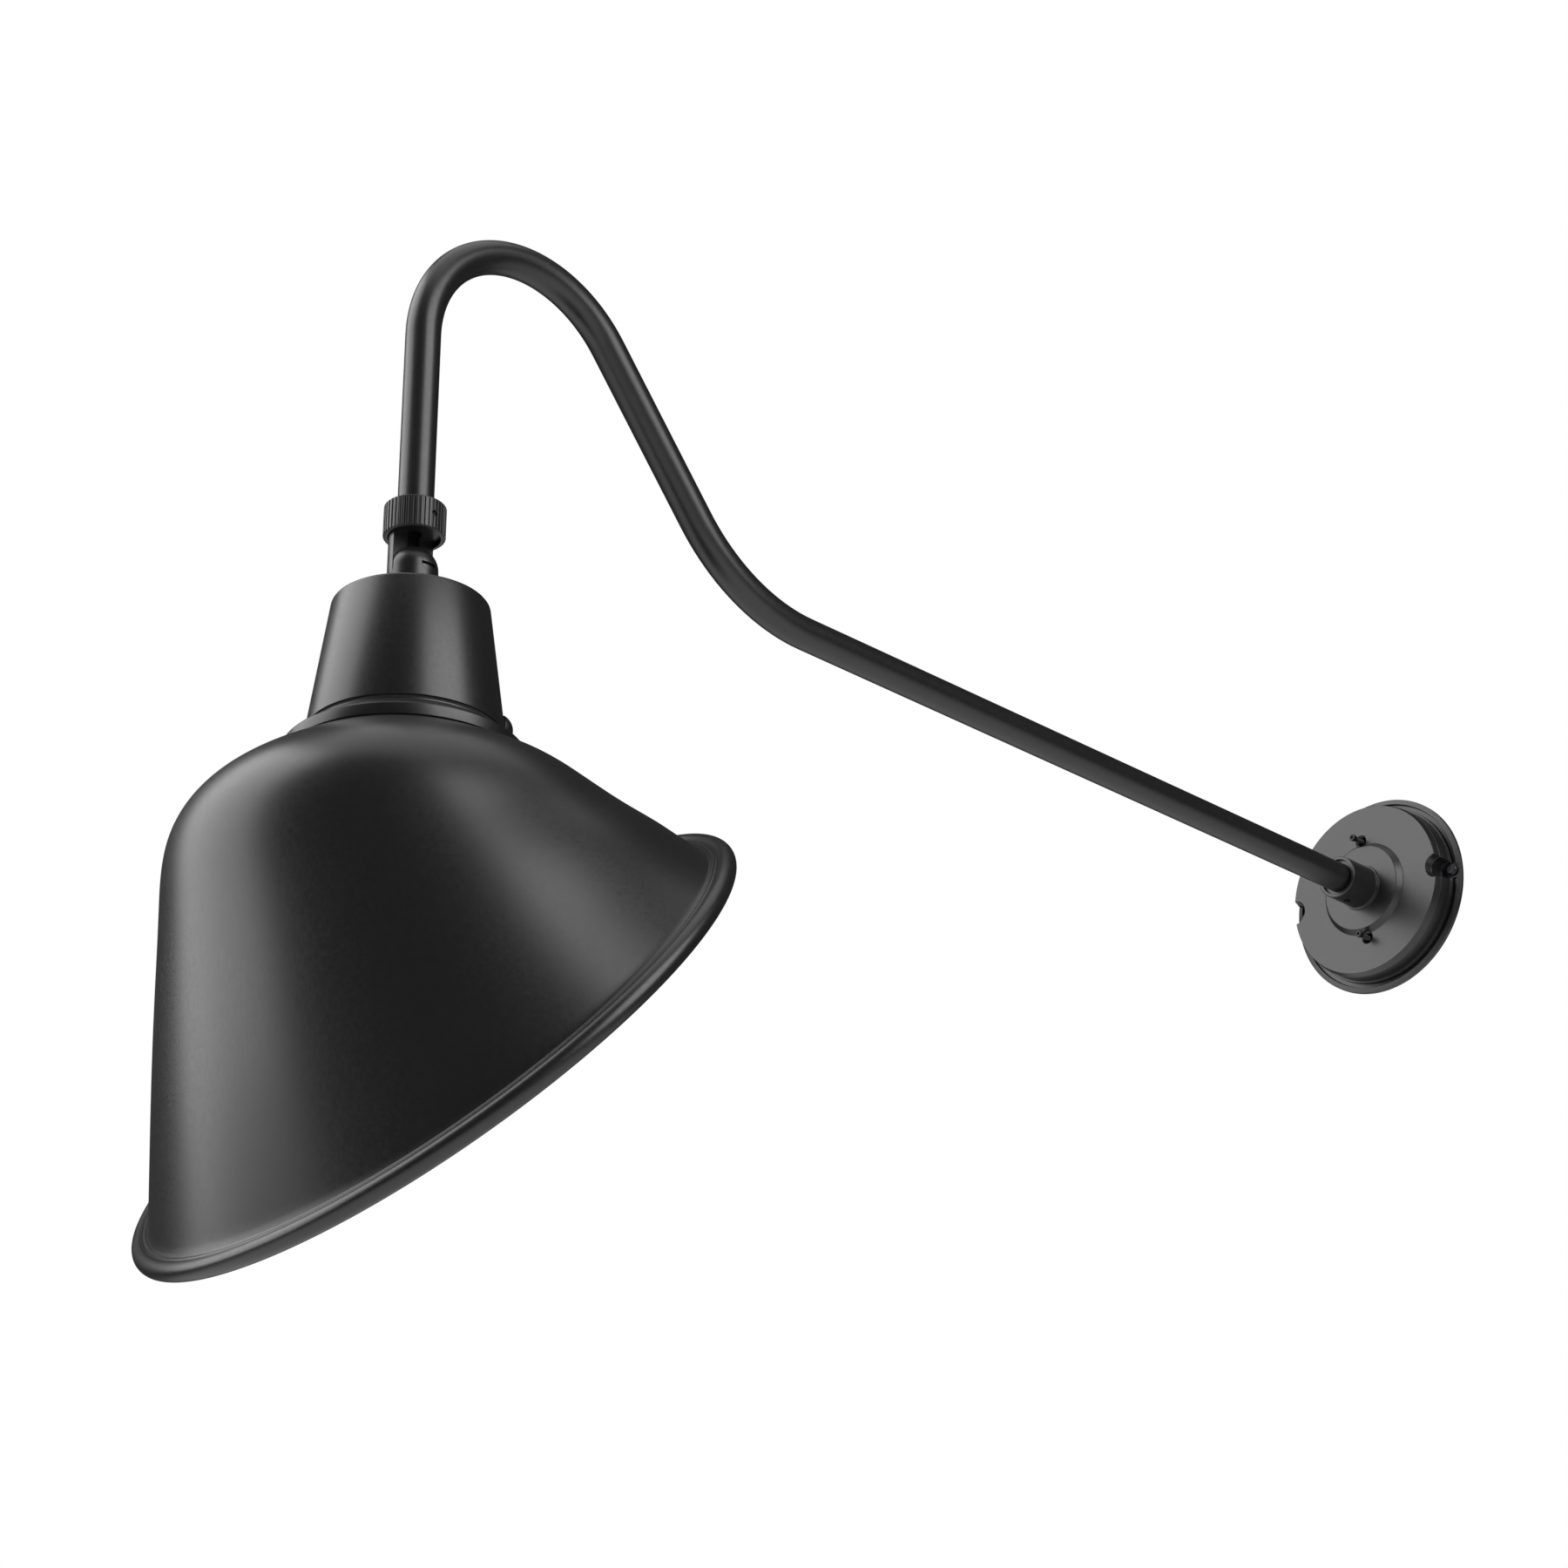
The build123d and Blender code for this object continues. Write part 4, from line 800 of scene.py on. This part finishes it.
def make_lower_ear():
    """Lower half of the swivel: a stem into the hub and an ear on the +X side, bored for the screw."""
    foot = HUB_TOP + 1.0
    shoulder = PIVOT_Z - SWIVEL_R - 1.1
    bar = [(5.0, foot - KNUCKLE_STEM_H), (KNUCKLE_STEM_R, foot - KNUCKLE_STEM_H, 0.4), (KNUCKLE_STEM_R, foot),
           (SWIVEL_R, foot, 0.3), *ball_end(1)[:-3], (5.0, PIVOT_Z + 14.0)]
    ear = lathe("knuckle_ear", bar, HEAD, [POWDER_COAT], 96)
    core = [(0, shoulder - 1), (5.2, shoulder - 1), *ball_end(1)[-4:]]
    ear = carve(ear, lathe("knuckle_core", core, HEAD, [POWDER_COAT], 96), "UNION")
    ear = carve(ear, slab((-BEYOND, -REACH - BEYOND, shoulder), (LAP, -REACH + BEYOND, PIVOT_Z + BEYOND)))
    ear = carve(ear, rod(PIVOT_R + 0.05, -5.0, 20.0, along_x(PIVOT_Z), 48))
    ear = carve(ear, rod(PIVOT_HEAD_R + 0.1, PIVOT_SEAT, 20.0, along_x(PIVOT_Z), 48))
    stands_for(eased(ear, 0.35), "knuckle")


def make_pivot_screw():
    """Slotted screw whose head is turned flush with the ball end it sits in."""
    place = along_x(PIVOT_Z)
    under = PIVOT_SEAT + 0.05
    blank = [(0, under), (PIVOT_HEAD_R - 0.6, under), (PIVOT_HEAD_R, under + 0.6),
             (PIVOT_HEAD_R, 20.0), (0, 20.0)]
    head = lathe("slotted_pivot_screw", blank, place, [], 48)
    ball = [(0, PIVOT_Z - 14.0), (SWIVEL_R, PIVOT_Z - 14.0), *ball_end(1)[:-3], (0, PIVOT_Z + 14.0)]
    head = carve(head, lathe("ball", ball, HEAD, [], 96), "INTERSECT")
    slot_half = 0.95
    slot_floor = PIVOT_SEAT + 2.8
    head = carve(head, slab((slot_floor, -REACH - 8.0, PIVOT_Z - slot_half),
                            (20.0, -REACH + 8.0, PIVOT_Z + slot_half)))
    shank = lathe("shank", [(0, PIVOT_TIP), (PIVOT_R - 0.6, PIVOT_TIP), (PIVOT_R, PIVOT_TIP + 0.6),
                            (PIVOT_R, under), (0, under)], place, [], 48)
    screw = join_into(head, shank)
    screw.data.materials.append(POWDER_COAT)
    stands_for(eased(screw, 0.15), "pivot_screw")


# Hub, fitter ring and lens

def make_hub():
    """Cast hub: a hollow cone with a rounded shoulder."""
    stem_hole_r = KNUCKLE_STEM_R + 0.1
    crown = HUB_TOP - HUB_CROWN
    hub = lathe("hub_shell", [
        (stem_hole_r, HUB_TOP, 0.4), (HUB_TOP_R, HUB_TOP, 2.6), (HUB_FOOT_R, HUB_BOTTOM, 0.5),
        (HUB_FOOT_R - 3.2, HUB_BOTTOM, 0.4), (HUB_TOP_R - 2.5, crown, 1.5), (stem_hole_r, crown)],
        HEAD, [POWDER_COAT])
    return stands_for(hub, "hub_housing")


def dome(base, height, steps):
    """Points (radius, height) of a shallow dome from its rim to its crown."""
    curve_r = (base ** 2 + height ** 2) / (2 * height)
    reach = asin(base / curve_r)
    turns = [reach * (1 - k / steps) for k in range(steps + 1)]
    return [(curve_r * sin(a), height - curve_r + curve_r * cos(a)) for a in turns]


def make_plug():
    """Domed plug low on the hub's side."""
    z = HUB_BOTTOM + 10.5
    radius = HUB_TOP_R + (HUB_FOOT_R - HUB_TOP_R) * (HUB_TOP - z) / HUB_HEIGHT
    turn = Matrix.Rotation(radians(60), 4, "Z") @ Matrix.Translation((radius * MM, 0, z * MM))
    place = HEAD @ turn @ Matrix.Rotation(radians(90), 4, "Y")
    shank_r = 7.0
    profile = [(0, -5.0), (shank_r, -5.0), (shank_r, 0.0), (PLUG_R, 0.0), *dome(PLUG_R, PLUG_BULGE, 10)]
    return stands_for(lathe("hub_plug", profile, place, [POWDER_COAT], 48), "hub_side_plug")


def make_fitter_ring():
    """Turned ring between hub and shade, with a conical flank and a ledge inside."""
    flank_foot = FITTER_TOP - 9.1
    ledge = FITTER_TOP - FITTER_LEDGE
    ring = lathe("fitter_ring_body", [
        (42.0, FITTER_TOP), (FITTER_NECK_R, FITTER_TOP, 0.3), (FITTER_NECK_R, FITTER_TOP - 0.9),
        (NECK_R - 0.9, flank_foot, 0.8), (NECK_R, flank_foot - 0.9, 0.3), (NECK_R, FITTER_BOTTOM, 0.4),
        (NECK_HOLE_R, FITTER_BOTTOM, 0.3), (NECK_HOLE_R, ledge), (42.0, ledge)], HEAD, [POWDER_COAT])
    return stands_for(ring, "fitter_ring")


def make_lens():
    """Opal dome with a flange."""
    inside_r = LENS_R - LENS_T
    flange_under = LENS_TOP - LENS_T
    outside = [(r, LENS_TOP - h) for r, h in dome(LENS_R, LENS_DEPTH, 16)]
    inside = [(r, LENS_TOP - h) for r, h in dome(inside_r, LENS_DEPTH - LENS_T, 16)]
    profile = [(inside_r, LENS_TOP), (LENS_FLANGE_R, LENS_TOP), (LENS_FLANGE_R, flange_under),
               (LENS_R, flange_under), *[p for p in outside if p[1] < flange_under - 0.05], *inside[:0:-1]]
    return stands_for(lathe("opal_lens", profile, HEAD, [OPAL_PC]), "lens")


# Canopy

def off_wall(x, z):
    """Place on the wall whose own Z points out from it."""
    return Matrix.Translation((x * MM, 0, z * MM)) @ WALL


def both_ways(distance):
    """A distance to each side of the middle."""
    return -distance, distance


def make_cover():
    """Cast cover with a raised boss, the arm's socket, two side notches and two screw holes."""
    pipe_bore = TUBE_R + 0.1
    socket_mouth_r = 13.2
    socket_floor = 52.2
    fillet_z = 27.6
    root_r = 17.0
    cover = lathe("canopy_body", [
        (7.9, SEAT_FACE - 1), (7.9, TUBE_START), (pipe_bore, TUBE_START), (pipe_bore, socket_floor),
        (socket_mouth_r, socket_floor, 0.3), (socket_mouth_r, SOCKET_END, 0.3), (SOCKET_R, SOCKET_END, 0.8),
        (SOCKET_R, fillet_z, 0.5), (root_r, fillet_z, 0.5), (root_r, BOSS_FACE, 0.3), (32.0, BOSS_FACE, 0.8),
        (35.4, COVER_FACE, 0.6), (COVER_R - 1.3, COVER_FACE, 0.4), (COVER_R - 0.25, TIER_FOOT),
        (COVER_R, TIER_FOOT - 0.25), (COVER_R, LIP_TOP, 0.3), (COVER_R + 1.3, LIP_TOP, 0.4),
        (COVER_R + 1.3, SEAT_FACE, 0.2)], WALL, [POWDER_COAT], 192)
    hollow = rod(COVER_HOLLOW_R, SEAT_FACE - 3, COVER_FACE - COVER_WALL, WALL, 192)
    for x in both_ways(NOTCH_X):
        hollow = carve(hollow, rod(NOTCH_R + 3.0, 0, 30, off_wall(x, 0), 96))
    cover = carve(cover, hollow)
    lip_r = NOTCH_R - 1.2
    mouth_r = NOTCH_R + 1.7
    for x in both_ways(NOTCH_X):
        notch = [(0, 0), (lip_r, 0), (lip_r, LIP_TOP, 0.4), (NOTCH_R, LIP_TOP, 0.3),
                 (NOTCH_R, TIER_FOOT - 0.25), (NOTCH_R + 0.25, TIER_FOOT), (mouth_r - 0.3, COVER_FACE - 0.3),
                 (mouth_r, COVER_FACE), (mouth_r, 30), (0, 30)]
        cover = carve(cover, lathe("notch", notch, off_wall(x, 0), [], 96))
    for z in both_ways(COVER_SCREW_Z):
        hole = [(0, 0), (3.5, 0), (3.5, COVER_FACE - 1.4), (4.9, COVER_FACE), (4.9, 30), (0, 30)]
        cover = carve(cover, lathe("hole", hole, off_wall(0, z), [], 48))
    set_screw = Matrix.Translation((0, -(SOCKET_END - 10.5) * MM, 0))
    cover = carve(cover, rod(2.5, -20, -5, set_screw, 32))
    stands_for(eased(cover, 0), "canopy_cover")


def make_plate():
    """Wall plate with a sloping flange, a ring groove, screw pads and posts for the cover's screws."""
    plate = lathe("canopy_plate", [
        (WIRE_HOLE_R, GASKET_FACE), (FLANGE_R, GASKET_FACE, 0.3), (FLANGE_R, FLANGE_FACE - 1.0, 0.5),
        (GROOVE_OUT_R + 0.2, FLANGE_FACE, 0.4), (GROOVE_OUT_R, GROOVE_FLOOR, 0.3),
        (GROOVE_IN_R, GROOVE_FLOOR, 0.3), (GROOVE_IN_R, SEAT_FACE), (WIRE_HOLE_R, SEAT_FACE)],
        WALL, [POWDER_COAT], 192)
    for x in both_ways(FLANGE_SCREW_X):
        plate = carve(plate, rod(FLANGE_SCREW_HOLE_R, 0, 10, off_wall(x, 0), 32))
        pad = [(0, SEAT_FACE), (6.2, SEAT_FACE, 0.3), (6.2, 10), (0, 10)]
        plate = carve(plate, lathe("pad", pad, off_wall(x, 0), [], 48))
    for x in both_ways(BOX_SCREW_X):
        plate = carve(plate, rod(BOX_SCREW_HOLE_R, 0, 10, off_wall(x, 0), 32))
    plate = carve(plate, rod(2.0, 0, 10, off_wall(*EARTH_SCREW_SPOT), 32))
    added = []
    for z in both_ways(COVER_SCREW_Z):
        foot = SEAT_FACE - 0.1
        top = SEAT_FACE + 9.0
        post = [(2.1, foot), (4.6, foot), (4.6, top, 0.4), (2.1, top)]
        added.append(lathe("post", post, off_wall(0, z), [POWDER_COAT], 48))
    for x in both_ways(FLANGE_SCREW_X):
        foot = GROOVE_FLOOR - 0.1
        pad = [(FLANGE_SCREW_HOLE_R, foot), (5.9, foot), (6.15, SEAT_FACE, 0.2),
               (FLANGE_SCREW_HOLE_R, SEAT_FACE)]
        added.append(lathe("screw_pad", pad, off_wall(x, 0), [POWDER_COAT], 48))
    stands_for(eased(join_into(plate, *added), 0), "back_plate")


def make_gasket():
    """Foam ring between plate and wall, with its edges eased."""
    gasket = lathe("wall_seal", [
        (GASKET_HOLE_R, 0), (GASKET_R, 0, 0.4), (GASKET_R, GASKET_FACE, 0.4), (GASKET_HOLE_R, GASKET_FACE)],
        WALL, [FOAM_RUBBER], 128)
    for x in both_ways(BOX_SCREW_X):
        gasket = carve(gasket, rod(BOX_SCREW_HOLE_R, -1, 3, off_wall(x, 0), 32))
    stands_for(eased(gasket, 0), "wall_gasket")


def make_cover_screws():
    """Threaded screws that stand out of the cover, with a small socket head."""
    root_r = COVER_SCREW_R - 0.28
    socket_r = 1.1
    socket_floor = COVER_SCREW_TIP - 1.3
    head = COVER_SCREW_TIP - 2.6
    pieces = []
    for z in both_ways(COVER_SCREW_Z):
        profile = [(0, SEAT_FACE), (1.7, SEAT_FACE)]
        turns = int((COVER_SCREW_TIP - 3.2 - SEAT_FACE - 1.0) / THREAD_PITCH)
        for k in range(turns):
            low = SEAT_FACE + 0.8 + THREAD_PITCH * k
            profile += [(root_r, low), (COVER_SCREW_R, low + 0.3), (COVER_SCREW_R, low + 0.4)]
        profile += [(root_r, head - 0.3), (root_r, head), (2.5, head, 0.2), (2.5, COVER_SCREW_TIP, 0.4),
                    (socket_r, COVER_SCREW_TIP, 0.1), (socket_r, socket_floor), (0, socket_floor)]
        pieces.append(lathe("cover_screw", profile, off_wall(0, z), [BLACK_OXIDE], 40))
    stands_for(join_into(*pieces), "cover_screws")


lay_floor()
place_camera()
light_studio()
make_shade()
make_arm()
make_collar()
make_upper_ear()
make_lower_ear()
make_pivot_screw()
make_hub()
make_plug()
make_fitter_ring()
make_lens()
make_cover()
make_plate()
make_gasket()
make_cover_screws()

# CAD nodes whose own shape is the finished one, with the bevel that eases their edges
COPIES = {
    "flange_screws": 0.5, "clamp_ring": 0.3, "clamp_screws": 0.2, "lens_bezel": 0.3,
    "bezel_screws": 0.15, "hub_gasket": 0.0, "shade_gasket": 0.0, "knuckle_seal": 0.0,
    "collar_set_screw": 0.0, "socket_set_screw": 0.0, "ground_screw": 0.2, "heat_sink": 0.2,
    "led_driver": 0.3, "terminal_block": 0.3, "reflector": 0.0,
}
for node, bevel in COPIES.items():
    clean_copy(node, node + "_finished", LOOKS[SLOT_OF[node]], bevel)

for node, obj in NODES.items():
    obj.data.materials.clear()
    obj.data.materials.append(LOOKS[SLOT_OF[node]])
